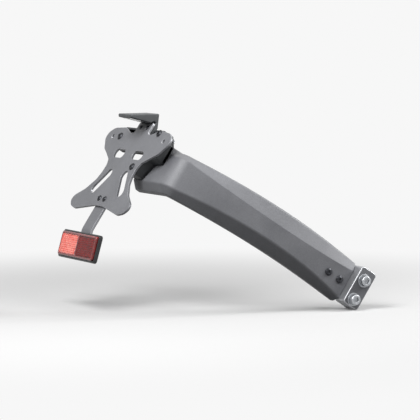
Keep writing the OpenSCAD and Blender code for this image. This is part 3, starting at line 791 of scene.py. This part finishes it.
class TIDY_OT_arm(bpy.types.Operator):
    """Folded arm, lofted from the swingarm back and round behind the tyre"""
    bl_idname = "tidy.arm"
    bl_label = "Arm"

    def execute(self, context):
        arm = context.scene.tidy_arm
        wall, crease_r, edge = arm.wall / MM, arm.crease / MM, arm.edge / MM
        bm = bmesh.new()

        def stand(t, e, x, z, a, shrink, push):
            """One row of vertices, its section inset by shrink and moved along the arm by push."""
            out, along = Vector((math.cos(a), 0, math.sin(a))), Vector((-math.sin(a), 0, math.cos(a)))
            section = inset(arm_section(t, e, wall, crease_r, edge), shrink)
            return [bm.verts.new(RAKED @ (Vector((x, p.y, z)) + out * p.x + along * push))
                    for p in section]
        places = arm_stations(arm)
        # Each end is rounded by sections that shrink a little less than the edge's radius
        ends = [(0.92 * edge * (1 - math.sin(b)), edge * (1 - math.cos(b)))
                for b in (0, 0.55, 1.1, math.pi / 2)]
        rows = [stand(*places[0], d, push) for d, push in ends]
        rows += [stand(*place, 0, 0) for place in places[1:-1]]
        rows += [stand(*places[-1], d, -push) for d, push in reversed(ends)]
        bridge(bm, rows)
        channel_end(bm, rows[0])
        channel_end(bm, rows[-1])
        add_piece(context, "arm", bm, [graphite_coat_and_painted_sheen], ["arm_shell"], smooth=50)
        return {"FINISHED"}


# Mount block: size along and across the arm and out from it, and its middle over the arm's
BLOCK_L, BLOCK_H, BLOCK_T = 23.0, 50.0, 16.0
BLOCK_Z, BLOCK_RISE = BLOCK_EDGE - BLOCK_L / 2, 3.0
TONGUE_L, TONGUE_H, TONGUE_END = 46.5, 24.0, 52.5
# Where the two swingarm bolts stand across the arm, and the two screws along it
BOLT_SPOTS = (-13, 13)
ARM_SCREWS = (22.5, 40.5)
BOLT_WASHER_T, BRACKET_WASHER_T = 1.6, 1.2
# Radius of the hole that clears a screw of that size
CLEARS = {6: 3.3, 5: 2.8, 4: 2.3, 3: 1.8}


class TIDY_OT_mount_block(bpy.types.Operator):
    """Block between the swingarm and the arm, with a tongue inside the arm"""
    bl_idname = "tidy.mount_block"
    bl_label = "Mount block"

    def execute(self, context):
        bm = bmesh.new()
        outline = softened(rectangle(BLOCK_L, BLOCK_H), 4, 4)
        bores = [circle(BLOCK_Z, y - BLOCK_RISE, 4.3) for y in BOLT_SPOTS]
        place = out_of_arm(-TONGUE_T, BLOCK_RISE, BLOCK_Z)
        plate(bm, outline, bores, TONGUE_T + BLOCK_T, 1.0, place, finish=0, rim=1)
        tongue = softened(rectangle(TONGUE_L, TONGUE_H), 3, 3)
        plate(bm, tongue, [], TONGUE_T, 0.5, out_of_arm(-TONGUE_T, 0, TONGUE_END - TONGUE_L / 2))
        add_piece(context, "mount_block_body", bm, [graphite_coat_and_painted_sheen, machined_aluminium],
                  ["mount_block"])
        return {"FINISHED"}


# Screw places on the carrier's axes, and the seats in front of its rear face: on the stem, on
# the bracket's web and front, and on the arm's flange
FLANGE_BOLTS = ((56, 32), (24, 38.7))
CARRIER_SCREWS = ((-48, 43), (47, 52))
LEG_SCREW = (28, 4)
STEM_SCREWS = ((-7, -43), (7, -43))
LAMP_SCREWS = ((-9, 58), (9, 58))
STEM_SEAT, WEB_SEAT, BRACKET_SEAT, FLANGE_SEAT = -6.0, -13.0, -17.0, -20.0

BRACKET_OUTLINE = (
    (-60, 34), (-56, 29.5), (33, 29.5), (33, 15), (19, 5), (20, -5), (37, -3), (48, 17), (67, 19),
    (67, 44), (50, 58), (24, 58), (19, 49.5), (-19, 49.5), (-24, 58), (-52, 58), (-60, 50))
BRACKET_RIBS = (((-48, 43), (-24, 36)), ((-24, 36), (0, 43)), ((0, 43), (24, 36)), ((47, 52), (56, 38)))


class TIDY_OT_rear_bracket(bpy.types.Operator):
    """Cast bracket between the arm's flange and the carrier, with a rim and screw bosses"""
    bl_idname = "tidy.rear_bracket"
    bl_label = "Rear bracket"

    def execute(self, context):
        sizes = context.scene.tidy_carrier
        depth, web, rim = sizes.bracket / MM, sizes.web / MM, sizes.rim / MM
        corners = [Vector(p) for p in BRACKET_OUTLINE]
        outline = softened(corners, 3, 1.5)
        bm = bmesh.new()
        back = -sizes.sheet / MM - depth
        place = ON_CARRIER @ Matrix.Translation((0, 0, back))
        holes = [circle(x, y, CLEARS[6]) for x, y in FLANGE_BOLTS]
        plate(bm, outline, holes, web, 0.4, place)
        wall_sides = []
        for loop, way in ((outline, 1), (softened(inset(corners, rim), 0.8, 3.5), -1)):
            rows = [row_of(bm, inset(loop, way * d), z, place) for d, z in edge_profile(depth, 0.6)]
            bridge(bm, rows)
            wall_sides.append(rows)
        for level in (0, -1):
            fill_between(bm, [rows[level] for rows in wall_sides])
        boss = [(2.8, 0.3), (6.6, 0.3), (6.6, web), (6.0, web + 0.5), (5.6, web + 1.6),
                (5.4, depth - 0.6), (4.9, depth), (2.8, depth)]
        for x, y in CARRIER_SCREWS + (LEG_SCREW,):
            turned(bm, boss, place @ Matrix.Translation((x, y, 0)), closed=True)
        for a, b in BRACKET_RIBS:
            plate(bm, long_slot(a, b, 2.2), [], depth - 3.5, 0.6, place)
        # The bracket's near-black coat is partly painted shade between the carrier and the arm's flange
        add_piece(context, "bracket_casting", bm, [bracket_coat_painted_shade], ["rear_bracket"])
        return {"FINISHED"}


# Right half of the carrier, from the foot up past the waist and the wing to the neck
HALF_OUTLINE = (
    (12, -53), (59, -61), (72, -58), (79, -51), (77, -44), (58, -33), (45, -19), (41, -9), (40, 2),
    (44, 10), (59, 18), (72, 24), (78, 31), (85, 38), (84, 47), (73, 54), (45, 56), (27, 49),
    (18, 50), (18, 67))
# Upper slots: how far from the middle, how high, half their straight length and their width
UPPER_SLOT_X, UPPER_SLOT_Y, UPPER_SLOT_HALF, UPPER_SLOT_W = 24.5, 20, 7, 12
# Slanted slots: their ends and width. Number-plate holes: place and radius
SLANTED_TOP, SLANTED_END, SLANTED_W = (21, -9), (36, -31), 13
PLATE_HOLE_X, PLATE_HOLE_Y, PLATE_HOLE_R = 68, 42, 3


class TIDY_OT_carrier(bpy.types.Operator):
    """Laser-cut number-plate carrier with its slots and screw holes"""
    bl_idname = "tidy.carrier"
    bl_label = "Carrier plate"

    def execute(self, context):
        sizes = context.scene.tidy_carrier
        sheet, edge, corner = sizes.sheet / MM, sizes.edge / MM, sizes.corner / MM
        half = [Vector(p) for p in HALF_OUTLINE]
        outline = softened(half + [Vector((-p.x, p.y)) for p in reversed(half)], corner, corner / 2,
                           gentle=math.radians(80))
        holes = []
        for side in (-1, 1):
            x, y = side * UPPER_SLOT_X, UPPER_SLOT_Y
            holes.append(long_slot((x - UPPER_SLOT_HALF, y), (x + UPPER_SLOT_HALF, y), UPPER_SLOT_W))
            holes.append(long_slot((side * SLANTED_TOP[0], SLANTED_TOP[1]),
                                   (side * SLANTED_END[0], SLANTED_END[1]), SLANTED_W))
            holes.append(circle(side * PLATE_HOLE_X, PLATE_HOLE_Y, PLATE_HOLE_R))
        holes += [circle(x, y, CLEARS[5], 32) for x, y in CARRIER_SCREWS + (LEG_SCREW,)]
        holes += [circle(x, y, CLEARS[4], 32) for x, y in STEM_SCREWS]
        holes += [circle(x, y, CLEARS[3], 24) for x, y in LAMP_SCREWS]
        bm = bmesh.new()
        place = ON_CARRIER @ Matrix.Translation((0, 0, -sheet))
        # The rim faces take the coat painted lighter: thinner coat and a painted edge highlight
        plate(bm, outline, holes, sheet, edge, place, finish=0, rim=1)
        add_piece(context, "carrier", bm, [graphite_coat_and_painted_sheen, thin_edge_coat_painted_highlight],
                  ["carrier_plate"])
        return {"FINISHED"}


def lean_point(v, w):
    """Side-view point at height v up the carrier and depth w to its rear: front, then up."""
    return Vector((v * math.sin(RAKE) - w * math.cos(RAKE), v * math.cos(RAKE) + w * math.sin(RAKE)))


# Plate lamp: its width, how high its top stands over the carrier's centre, the hood's length,
# the front of the foot that lies against the carrier, and the lead's hole there
LAMP_W, LAMP_TOP, LAMP_L = 34.0, 65.0, 39.0
FOOT_FRONT = -9.0
LEAD_X, LEAD_Y, LEAD_DEEP = 0, 57, 2
HOOD_FRONT = Vector((lean_point(67, -3).x + 5, LAMP_TOP))
HOOD_TIP = Vector((HOOD_FRONT.x - LAMP_L, LAMP_TOP))
HOOD_ROOT = Vector((lean_point(67, 0).x - 4, LAMP_TOP - 11))
# Height of the hood's end face, and the middle of its sloping underside
HOOD_END_H = 4
HOOD_SLOPE = math.atan2(HOOD_ROOT.y - HOOD_TIP.y + HOOD_END_H, HOOD_ROOT.x - HOOD_TIP.x)
HOOD_MIDDLE = (0, (HOOD_ROOT.x + HOOD_TIP.x) / 2, (HOOD_ROOT.y + HOOD_TIP.y - HOOD_END_H) / 2)
UNDER_HOOD = UPRIGHT @ Matrix.Translation(HOOD_MIDDLE) @ Matrix.Rotation(HOOD_SLOPE, 4, "X")
LENS_W, LENS_L, LENS_T = LAMP_W - 8, LAMP_L - 18, 2.0
CHAMBER_W, CHAMBER_L, CHAMBER_H = LENS_W - 4, LENS_L - 6, 2.4


def subtract(context, body, tool):
    """Mesh of body less tool."""
    objects = []
    for data in (body, tool):
        thing = bpy.data.objects.new(data.name, data)
        context.scene.collection.objects.link(thing)
        objects.append(thing)
    cut = objects[0].modifiers.new("Cut", "BOOLEAN")
    cut.operation, cut.solver, cut.object = "DIFFERENCE", "EXACT", objects[1]
    cut.use_self = True
    context.view_layer.update()
    result = bpy.data.meshes.new_from_object(objects[0].evaluated_get(context.evaluated_depsgraph_get()))
    for thing in objects:
        bpy.data.objects.remove(thing)
    if not result.polygons:
        raise RuntimeError(f"{body.name}: the cut left nothing")
    return result


class TIDY_OT_lamp_hood(bpy.types.Operator):
    """Moulded hood of the plate lamp, with a pocket for its lens"""
    bl_idname = "tidy.lamp_hood"
    bl_label = "Lamp hood"

    def execute(self, context):
        side_view = [
            lean_point(67.2, 0), lean_point(67.2, -3), lean_point(51, -3), lean_point(51, FOOT_FRONT),
            lean_point(63, FOOT_FRONT), HOOD_FRONT, HOOD_TIP, HOOD_TIP - Vector((0, HOOD_END_H)),
            HOOD_ROOT]
        outline = softened(side_view, 1.4, 0.5, steps=4)
        across = (UPRIGHT @ Matrix.Translation((-LAMP_W / 2, 0, 0))
                  @ Matrix.Rotation(math.pi / 2, 4, "Z") @ Matrix.Rotation(math.pi / 2, 4, "X"))
        bm = bmesh.new()
        plate(bm, outline, [], LAMP_W, 1.5, across)
        bmesh.ops.recalc_face_normals(bm, faces=bm.faces)
        body = bpy.data.meshes.new("hood_body")
        bm.to_mesh(body)
        bm.free()
        cutter = bmesh.new()
        for w, l, deep in ((LENS_W + 0.3, LENS_L + 0.3, LENS_T + 0.1),
                           (CHAMBER_W, CHAMBER_L, LENS_T + CHAMBER_H)):
            loop = softened(rectangle(w, l), 1.0, 1.0, 4)
            stack(cutter, [(loop, -2), (loop, deep)], UNDER_HOOD)
        for x, y in LAMP_SCREWS:
            loop = circle(x, y, 1.55, 24)
            stack(cutter, [(loop, FOOT_FRONT - 1), (loop, 0)], ON_CARRIER)
        loop = circle(LEAD_X, LEAD_Y, 3.5, 32)
        stack(cutter, [(loop, FOOT_FRONT - 1), (loop, FOOT_FRONT + LEAD_DEEP)], ON_CARRIER)
        bmesh.ops.recalc_face_normals(cutter, faces=cutter.faces)
        tool = bpy.data.meshes.new("hood_cutter")
        cutter.to_mesh(tool)
        cutter.free()
        cut = subtract(context, body, tool)
        bm = bmesh.new()
        bm.from_mesh(cut)
        add_piece(context, "lamp_hood", bm, [moulded_plastic], ["lamp_housing"])
        return {"FINISHED"}


class TIDY_OT_lamp_inside(bpy.types.Operator):
    """Lens and lit board of the plate lamp"""
    bl_idname = "tidy.lamp_inside"
    bl_label = "Lamp lens and board"

    def execute(self, context):
        bm = bmesh.new()
        plate(bm, softened(rectangle(LENS_W, LENS_L), 1.0, 1.0, 4), [], LENS_T, 0.3, UNDER_HOOD)
        add_piece(context, "lamp_window", bm, [clear_polycarbonate], ["lamp_lens"])
        bm = bmesh.new()
        low = LENS_T + CHAMBER_H - 1.6
        at = UNDER_HOOD @ Matrix.Translation((0, 0, low))
        plate(bm, softened(rectangle(CHAMBER_W - 0.1, CHAMBER_L - 0.1), 0.8, 0.8, 3), [], 1.5, 0.1, at)
        for i in range(3):
            x = (i - 1) * CHAMBER_W / 3
            chip = at @ Matrix.Translation((x, 0, -0.5))
            plate(bm, softened(rectangle(3.5, 3.5), 0.3, 0.3, 2), [], 0.6, 0.08, chip)
            turned(bm, [(0.3, -0.08), (0.9, -0.05), (1.3, 0.0), (1.35, 0.1)], chip, count=32, finish=1)
            for y in (-5, 5):
                resistor = at @ Matrix.Translation((0, 0, -0.4))
                plate(bm, rectangle(2.0, 1.2, x, y), [], 0.5, 0.05, resistor, finish=2)
        add_piece(context, "lamp_circuit", bm, [solder_mask, phosphor, black_abs],
                  ["lamp_board"])
        return {"FINISHED"}


class TIDY_OT_grommet(bpy.types.Operator):
    """Ribbed rubber outlet for the lamp's lead"""
    bl_idname = "tidy.grommet"
    bl_label = "Grommet"

    def execute(self, context):
        bm = bmesh.new()
        place = (ON_CARRIER @ Matrix.Translation((LEAD_X, LEAD_Y, FOOT_FRONT + LEAD_DEEP))
                 @ Matrix.Rotation(math.pi, 4, "X"))
        ribs = []
        for i in range(4):
            z, r = 4.3 + i * 1.6, 3.45 - i * 0.22
            ribs += [(r - 0.35, z), (r, z + 0.35), (r, z + 0.8), (r - 0.4, z + 1.15)]
        rings = ([(3.4, 0), (3.45, 2), (4.3, 2.05), (4.5, 2.35), (4.5, 3.1), (4.2, 3.45), (3.3, 3.6)]
                 + ribs + [(2.3, 10.7), (2.1, 10.95), (1.6, 11), (1.5, 10.8), (1.5, 3), (0.2, 3)])
        turned(bm, rings, place, count=48)
        add_piece(context, "grommet", bm, [rubber], ["lamp_grommet"])
        return {"FINISHED"}


# Stem: how far below the carrier's centre it folds and by what angle, its ends, width and fold
STEM_FOLD, STEM_TURN = 84.0, RAKE - math.radians(16)
STEM_TOP, STEM_LEG, STEM_W, STEM_ARC = -34.0, 29.0, 26.0, 5.0
ON_LEG = ON_CARRIER @ Matrix.Translation((0, -STEM_FOLD, -6)) @ Matrix.Rotation(STEM_TURN, 4, "X")
# How far below the fold the reflector's middle stands
REFLECTOR_MID = 21.0


def on_leg(z):
    """Place at the reflector's middle, z to the rear of the front face of the stem's leg."""
    return ON_LEG @ Matrix.Translation((0, -REFLECTOR_MID, z))


class TIDY_OT_stem(bpy.types.Operator):
    """Folded stem that carries the reflector"""
    bl_idname = "tidy.stem"
    bl_label = "Reflector stem"

    def execute(self, context):
        sheet = context.scene.tidy_carrier.sheet / MM
        bottom = -STEM_FOLD - STEM_LEG
        outline = softened(rectangle(STEM_W, STEM_TOP - bottom, 0, (STEM_TOP + bottom) / 2), 3, 3)
        holes = [circle(x, y, CLEARS[4], 32) for x, y in STEM_SCREWS]
        holes.append(circle(0, -STEM_FOLD - REFLECTOR_MID, CLEARS[5], 32))
        bm = bmesh.new()
        # The rim faces take the coat painted lighter: thinner coat and a painted edge highlight
        plate(bm, outline, holes, sheet, context.scene.tidy_carrier.edge / MM,
              Matrix.Translation((0, 0, -2 * sheet)), finish=0, rim=1)
        first = -STEM_FOLD + STEM_ARC / 2
        for i in range(7):
            geometry = bm.verts[:] + bm.edges[:] + bm.faces[:]
            cut_at = (0, first - STEM_ARC * i / 6, 0)
            bmesh.ops.bisect_plane(bm, geom=geometry, plane_co=cut_at, plane_no=(0, 1, 0))
        radius, middle = STEM_ARC / STEM_TURN, -1.5 * sheet
        for vert in bm.verts:
            y, thick = vert.co.y, vert.co.z - middle
            bent = min(max(first - y, 0), STEM_ARC)
            a = bent / radius
            beyond = max(first - STEM_ARC - y, 0)
            start_y = max(y, first)
            vert.co.y = start_y - radius * math.sin(a) - beyond * math.cos(a) - thick * math.sin(a)
            vert.co.z = middle - radius * (1 - math.cos(a)) - beyond * math.sin(a) + thick * math.cos(a)
        bm.transform(ON_CARRIER)
        add_piece(context, "stem", bm, [graphite_coat_and_painted_sheen, thin_edge_coat_painted_highlight],
                  ["reflector_stem"])
        return {"FINISHED"}


class TIDY_OT_reflector_tray(bpy.types.Operator):
    """Moulded tray behind the reflector's lens"""
    bl_idname = "tidy.reflector_tray"
    bl_label = "Reflector tray"

    def execute(self, context):
        sizes = context.scene.tidy_reflector
        loop = softened(rectangle(sizes.width / MM, sizes.height / MM), 4, 4, steps=8)
        depth, rim, floor_t, soft = 5.0, 2.0, 2.0, 0.5
        levels = [(inset(loop, d), z) for d, z in edge_profile(depth, soft)]
        levels += [(inset(loop, rim - soft), depth), (inset(loop, rim - 0.15), depth - 0.15),
                   (inset(loop, rim), depth - soft), (inset(loop, rim), floor_t)]
        bm = bmesh.new()
        stack(bm, levels, on_leg(3))
        add_piece(context, "tray", bm, [black_abs], ["reflector_tray"])
        return {"FINISHED"}


def prism_cells(bm, w, h, x, z, size, turn, place, finish):
    """Hexagonal cube-corner cells over a w by h bank centred on x, with their peaks at z."""
    columns = round(w / (math.sqrt(3) * size / 2))
    across = w / columns
    r = across / math.sqrt(3)
    up, rise = 1.5 * r, 0.2 * r
    rows = int((h / 2 - r) / up)
    for row in range(-rows, rows + 1):
        shifted = row % 2
        for column in range(columns + shifted):
            cx, cy = -w / 2 + (column + 0.5 * (1 - shifted)) * across, row * up
            peak = bm.verts.new(place @ Vector((x + cx, cy, z - 2 * rise)))
            ring = []
            for i in range(6):
                a = math.radians(30 + 60 * i)
                level = z if i % 2 == turn else z - rise
                px = max(-w / 2, min(w / 2, cx + r * math.cos(a)))
                ring.append(bm.verts.new(place @ Vector((x + px, cy + r * math.sin(a), level))))
            for i in range(3):
                k = 2 * i + 1 - turn
                face = bm.faces.new((peak, ring[k % 6], ring[(k + 1) % 6], ring[(k + 2) % 6]))
                face.material_index = finish


class TIDY_OT_reflector_lens(bpy.types.Operator):
    """Red lens with two banks of prism cells"""
    bl_idname = "tidy.reflector_lens"
    bl_label = "Reflector lens"

    def execute(self, context):
        sizes = context.scene.tidy_reflector
        w, h = sizes.width / MM - 4.4, sizes.height / MM - 4.4
        high, soft, deep, border, bar = 5.5, 1.4, 0.9, 2.4, 2.4
        loop = softened(rectangle(w, h), 3, 3, steps=8)
        place = on_leg(5)
        bm = bmesh.new()
        levels = [(inset(loop, d), high - z)
                  for d, z in [(soft * (1 - math.sin(a)), soft * (1 - math.cos(a)))
                               for a in (math.pi / 2 * (4 - i) / 4 for i in range(5))]]
        rows = stack(bm, [(loop, 0)] + levels, place, cap_last=False)
        edges_of = [rows[-1]]
        bank_w = w / 2 - border - bar / 2
        bank_h = h - 2 * border
        # Finish 1 paints its bank bright as a painted reflection, finish 2 paints its bank dark as
        # painted shade
        banks = ((-1, 1), (1, 2))
        for side, finish in banks:
            x = side * (bar + bank_w) / 2
            pocket = softened(rectangle(bank_w, bank_h, x), 1.5, 1.5, steps=5)
            sunk = inset(pocket, 0.25)
            pocket_rows = [row_of(bm, pocket, high, place), row_of(bm, sunk, high - 0.3, place),
                           row_of(bm, sunk, high - deep, place)]
            bridge(bm, pocket_rows)
            bm.faces.new(pocket_rows[-1]).material_index = finish
            edges_of.append(pocket_rows[0])
        fill_between(bm, edges_of)
        bmesh.ops.recalc_face_normals(bm, faces=bm.faces)
        for side, finish in banks:
            x = side * (bar + bank_w) / 2
            prism_cells(bm, bank_w - 0.6, bank_h - 0.6, x, high - 0.05, sizes.cell / MM, (side + 1) // 2,
                        place, finish)
        add_piece(context, "red_lens", bm, [acrylic_body, acrylic_painted_reflection, acrylic_painted_shade],
                  ["reflector_lens"], smooth=25)
        return {"FINISHED"}


class TIDY_OT_swingarm_bolts(bpy.types.Operator):
    """Socket head bolts that hold the part on the swingarm"""
    bl_idname = "tidy.swingarm_bolts"
    bl_label = "Swingarm bolts"

    def execute(self, context):
        bm = bmesh.new()
        for y in BOLT_SPOTS:
            cap_screw(bm, 8, 38.6, out_of_arm(BLOCK_T + BOLT_WASHER_T, y, 0), threaded=15)
        add_piece(context, "cap_screws", bm, [stainless_steel], ["swingarm_bolts"])
        return {"FINISHED"}


class TIDY_OT_screws(bpy.types.Operator):
    """Button head screws of the arm, bracket, carrier, stem and lamp"""
    bl_idname = "tidy.screws"
    bl_label = "Button screws"

    def execute(self, context):
        groups = {
            "arm_screws": (5, [(out_of_arm(3, 0, z), 7.0) for z in ARM_SCREWS]),
            "bracket_bolts": (6, [(at, 15.2)
                                  for at in on_carrier(FLANGE_BOLTS, WEB_SEAT + BRACKET_WASHER_T)]),
            "carrier_screws": (5, [(at, 23.0) for at in on_carrier(CARRIER_SCREWS)]
                               + [(at, 26.0) for at in on_carrier([LEG_SCREW])]),
            "stem_screws": (4, [(at, 11.0) for at in on_carrier(STEM_SCREWS)]),
            "lamp_screws": (3, [(at, 8.0) for at in on_carrier(LAMP_SCREWS)]),
        }
        for node, (m, places) in groups.items():
            bm = bmesh.new()
            for place, reach in places:
                button_screw(bm, m, reach, place)
            add_piece(context, node + "_turned", bm, [black_zinc], [node])
        return {"FINISHED"}


class TIDY_OT_washers(bpy.types.Operator):
    """Plain washers"""
    bl_idname = "tidy.washers"
    bl_label = "Washers"

    def execute(self, context):
        groups = {
            "swingarm_washers": (8, BOLT_WASHER_T, [out_of_arm(BLOCK_T, y, 0) for y in BOLT_SPOTS]),
            "bracket_washers": (6, BRACKET_WASHER_T, on_carrier(FLANGE_BOLTS, WEB_SEAT)),
            "reflector_washer": (5, 1.0, [on_leg(-1)]),
        }
        for node, (m, t, places) in groups.items():
            bm = bmesh.new()
            for place in places:
                washer(bm, m, t, place)
            add_piece(context, node + "_stamped", bm, [stainless_steel], [node])
        return {"FINISHED"}


class TIDY_OT_nuts(bpy.types.Operator):
    """Lock nuts with nylon rings"""
    bl_idname = "tidy.nuts"
    bl_label = "Lock nuts"

    def execute(self, context):
        groups = {
            "bracket_nuts": (6, on_carrier(FLANGE_BOLTS, FLANGE_SEAT)),
            "carrier_nuts": (5, on_carrier(CARRIER_SCREWS, BRACKET_SEAT)
                             + on_carrier([LEG_SCREW], FLANGE_SEAT)),
            "stem_nuts": (4, on_carrier(STEM_SCREWS, STEM_SEAT)),
            "reflector_nut": (5, [on_leg(-1)]),
        }
        for node, (m, places) in groups.items():
            bm = bmesh.new()
            for place in places:
                lock_nut(bm, m, place)
            add_piece(context, node + "_hex", bm, [stainless_steel, nylon], [node])
        return {"FINISHED"}


class TIDY_OT_stud(bpy.types.Operator):
    """Stud moulded into the reflector's tray"""
    bl_idname = "tidy.stud"
    bl_label = "Reflector stud"

    def execute(self, context):
        bm = bmesh.new()
        rings = shank(5, 12.2, 8.0) + [(4.8, 0), (5, 0.2), (5, 1.8), (4.8, 2), (0.5, 2)]
        turned(bm, rings, on_leg(5))
        add_piece(context, "stud", bm, [stainless_steel], ["reflector_stud"])
        return {"FINISHED"}


# Stage

# Colours of the backdrop, of the floor as it is seen, and of the light that the world and the
# floor throw on the part
BACKDROP, FLOOR_SEEN = "#f7f7f7", "#cbcbcb"
WORLD_LIGHT, FLOOR_LIGHT = "#555555", "#303030"
# Distances in metres from the part between which the floor runs out, and its gap under the part
FLOOR_NEAR, FLOOR_FAR = 0.2, 0.75
FLOOR_HALF, FLOOR_GAP = 6.0, 0.0005
# Where the camera stands, and each soft light's size and place from the part's middle
CAMERA_AT = (2.6399, -1.5896, 0.3528)
LAMPS = {"key": (0.6, (0.36, -0.66, 0.74)), "fill": (0.7, (1.0, 0.15, 1.0)),
         "rim": (0.5, (0.45, 1.05, 0.6)), "top": (1.2, (0.35, 0.35, 1.25))}


def plain_ray(tree):
    """1 for rays that should see the pale backdrop: from the camera, a reflection or through glass."""
    ray = add(tree, "ShaderNodeLightPath").outputs
    seen = add(tree, "ShaderNodeMath", {0: ray["Is Camera Ray"], 1: ray["Is Glossy Ray"]},
               operation="MAXIMUM")
    return add(tree, "ShaderNodeMath", {0: seen, 1: ray["Is Transmission Ray"]}, operation="MAXIMUM")


def floor_paint(middle):
    """Matt paint, pale where it is seen, that runs out into the backdrop away from that place."""
    made, tree = blank("Painted floor, matt, pale")
    seen = plain_ray(tree)
    tone = add(tree, "ShaderNodeMix", {0: seen, 6: srgb(FLOOR_LIGHT), 7: srgb(FLOOR_SEEN)},
               data_type="RGBA")
    paint = add(tree, "ShaderNodeBsdfDiffuse", {"Color": tone.outputs[2]})
    at = add(tree, "ShaderNodeNewGeometry").outputs["Position"]
    away = add(tree, "ShaderNodeVectorMath", {0: at, 1: middle}, operation="DISTANCE")
    far = add(tree, "ShaderNodeMapRange", {0: away.outputs["Value"], 1: FLOOR_NEAR, 2: FLOOR_FAR},
              interpolation_type="SMOOTHSTEP")
    share = add(tree, "ShaderNodeMath", {0: far, 1: seen}, operation="MULTIPLY")
    backdrop = add(tree, "ShaderNodeEmission", {"Color": srgb(BACKDROP)})
    both = add(tree, "ShaderNodeMixShader", {0: share, 1: paint, 2: backdrop})
    add(tree, "ShaderNodeOutputMaterial", {"Surface": both})
    return made


def pale_studio():
    """World that gives a low, even light and shows as the pale backdrop."""
    world = bpy.data.worlds.new("Pale studio")
    world.use_nodes = True
    tree = world.node_tree
    tree.nodes.clear()
    shade = add(tree, "ShaderNodeMix", {0: plain_ray(tree), 6: srgb(WORLD_LIGHT), 7: srgb(BACKDROP)},
                data_type="RGBA")
    light = add(tree, "ShaderNodeBackground", {"Color": shade.outputs[2], "Strength": 1.0})
    add(tree, "ShaderNodeOutputWorld", {"Surface": light})
    return world


class TIDY_OT_stage(bpy.types.Operator):
    """Pale floor and backdrop, soft lights and the camera"""
    bl_idname = "tidy.stage"
    bl_label = "Stage"

    def execute(self, context):
        scene = context.scene
        stage = scene.tidy_stage
        scene.view_settings.view_transform = "Standard"
        scene.world = pale_studio()

        middle = (CAD_LOW + CAD_HIGH) / 2
        low = CAD_LOW.z - FLOOR_GAP
        bm = bmesh.new()
        bmesh.ops.create_grid(bm, x_segments=8, y_segments=8, size=FLOOR_HALF)
        data = bpy.data.meshes.new("floor")
        bm.to_mesh(data)
        bm.free()
        data.materials.append(floor_paint((middle.x, middle.y, low)))
        floor = bpy.data.objects.new("floor", data)
        floor.location = (0, 0, low)
        scene.collection.objects.link(floor)

        for name, (size, place) in LAMPS.items():
            away = Vector(place)
            lamp = bpy.data.lights.new(name, "AREA")
            lamp.energy, lamp.size = getattr(stage, name), size
            holder = bpy.data.objects.new(name, lamp)
            holder.location = middle + away
            holder.rotation_euler = (-away).to_track_quat("-Z", "Y").to_euler()
            scene.collection.objects.link(holder)

        lens = bpy.data.cameras.new("camera")
        lens.lens = stage.lens
        lens.clip_start, lens.clip_end = 0.05, 30
        camera = bpy.data.objects.new("camera", lens)
        camera.location = CAMERA_AT
        camera.rotation_euler = (middle - camera.location).to_track_quat("-Z", "Y").to_euler()
        scene.collection.objects.link(camera)
        scene.camera = camera
        return {"FINISHED"}


OPERATORS = (
    TIDY_OT_stage, TIDY_OT_arm, TIDY_OT_mount_block, TIDY_OT_rear_bracket, TIDY_OT_carrier,
    TIDY_OT_lamp_hood, TIDY_OT_lamp_inside, TIDY_OT_grommet, TIDY_OT_stem, TIDY_OT_reflector_tray,
    TIDY_OT_reflector_lens, TIDY_OT_swingarm_bolts, TIDY_OT_screws, TIDY_OT_washers, TIDY_OT_nuts,
    TIDY_OT_stud)


class TIDY_PT_panel(bpy.types.Panel):
    """Lists the pieces and their settings"""
    bl_idname = "TIDY_PT_panel"
    bl_label = "Tail tidy"
    bl_space_type = "VIEW_3D"
    bl_region_type = "UI"
    bl_category = "Tail tidy"

    def draw(self, context):
        layout = self.layout
        for key, group in GROUPS.items():
            box = layout.box()
            box.label(text=group.__doc__)
            for field in group.__annotations__:
                box.prop(getattr(context.scene, key), field)
        for operator in OPERATORS:
            layout.operator(operator.bl_idname)


CLASSES = tuple(GROUPS.values()) + OPERATORS + (TIDY_PT_panel,)


def register():
    for cls in CLASSES:
        bpy.utils.register_class(cls)
    for key, group in GROUPS.items():
        setattr(bpy.types.Scene, key, bpy.props.PointerProperty(type=group))


def unregister():
    for key in GROUPS:
        delattr(bpy.types.Scene, key)
    for cls in reversed(CLASSES):
        bpy.utils.unregister_class(cls)


def main():
    register()
    for operator in OPERATORS:
        area, name = operator.bl_idname.split(".")
        getattr(getattr(bpy.ops, area), name)()


if __name__ == "__main__":
    main()
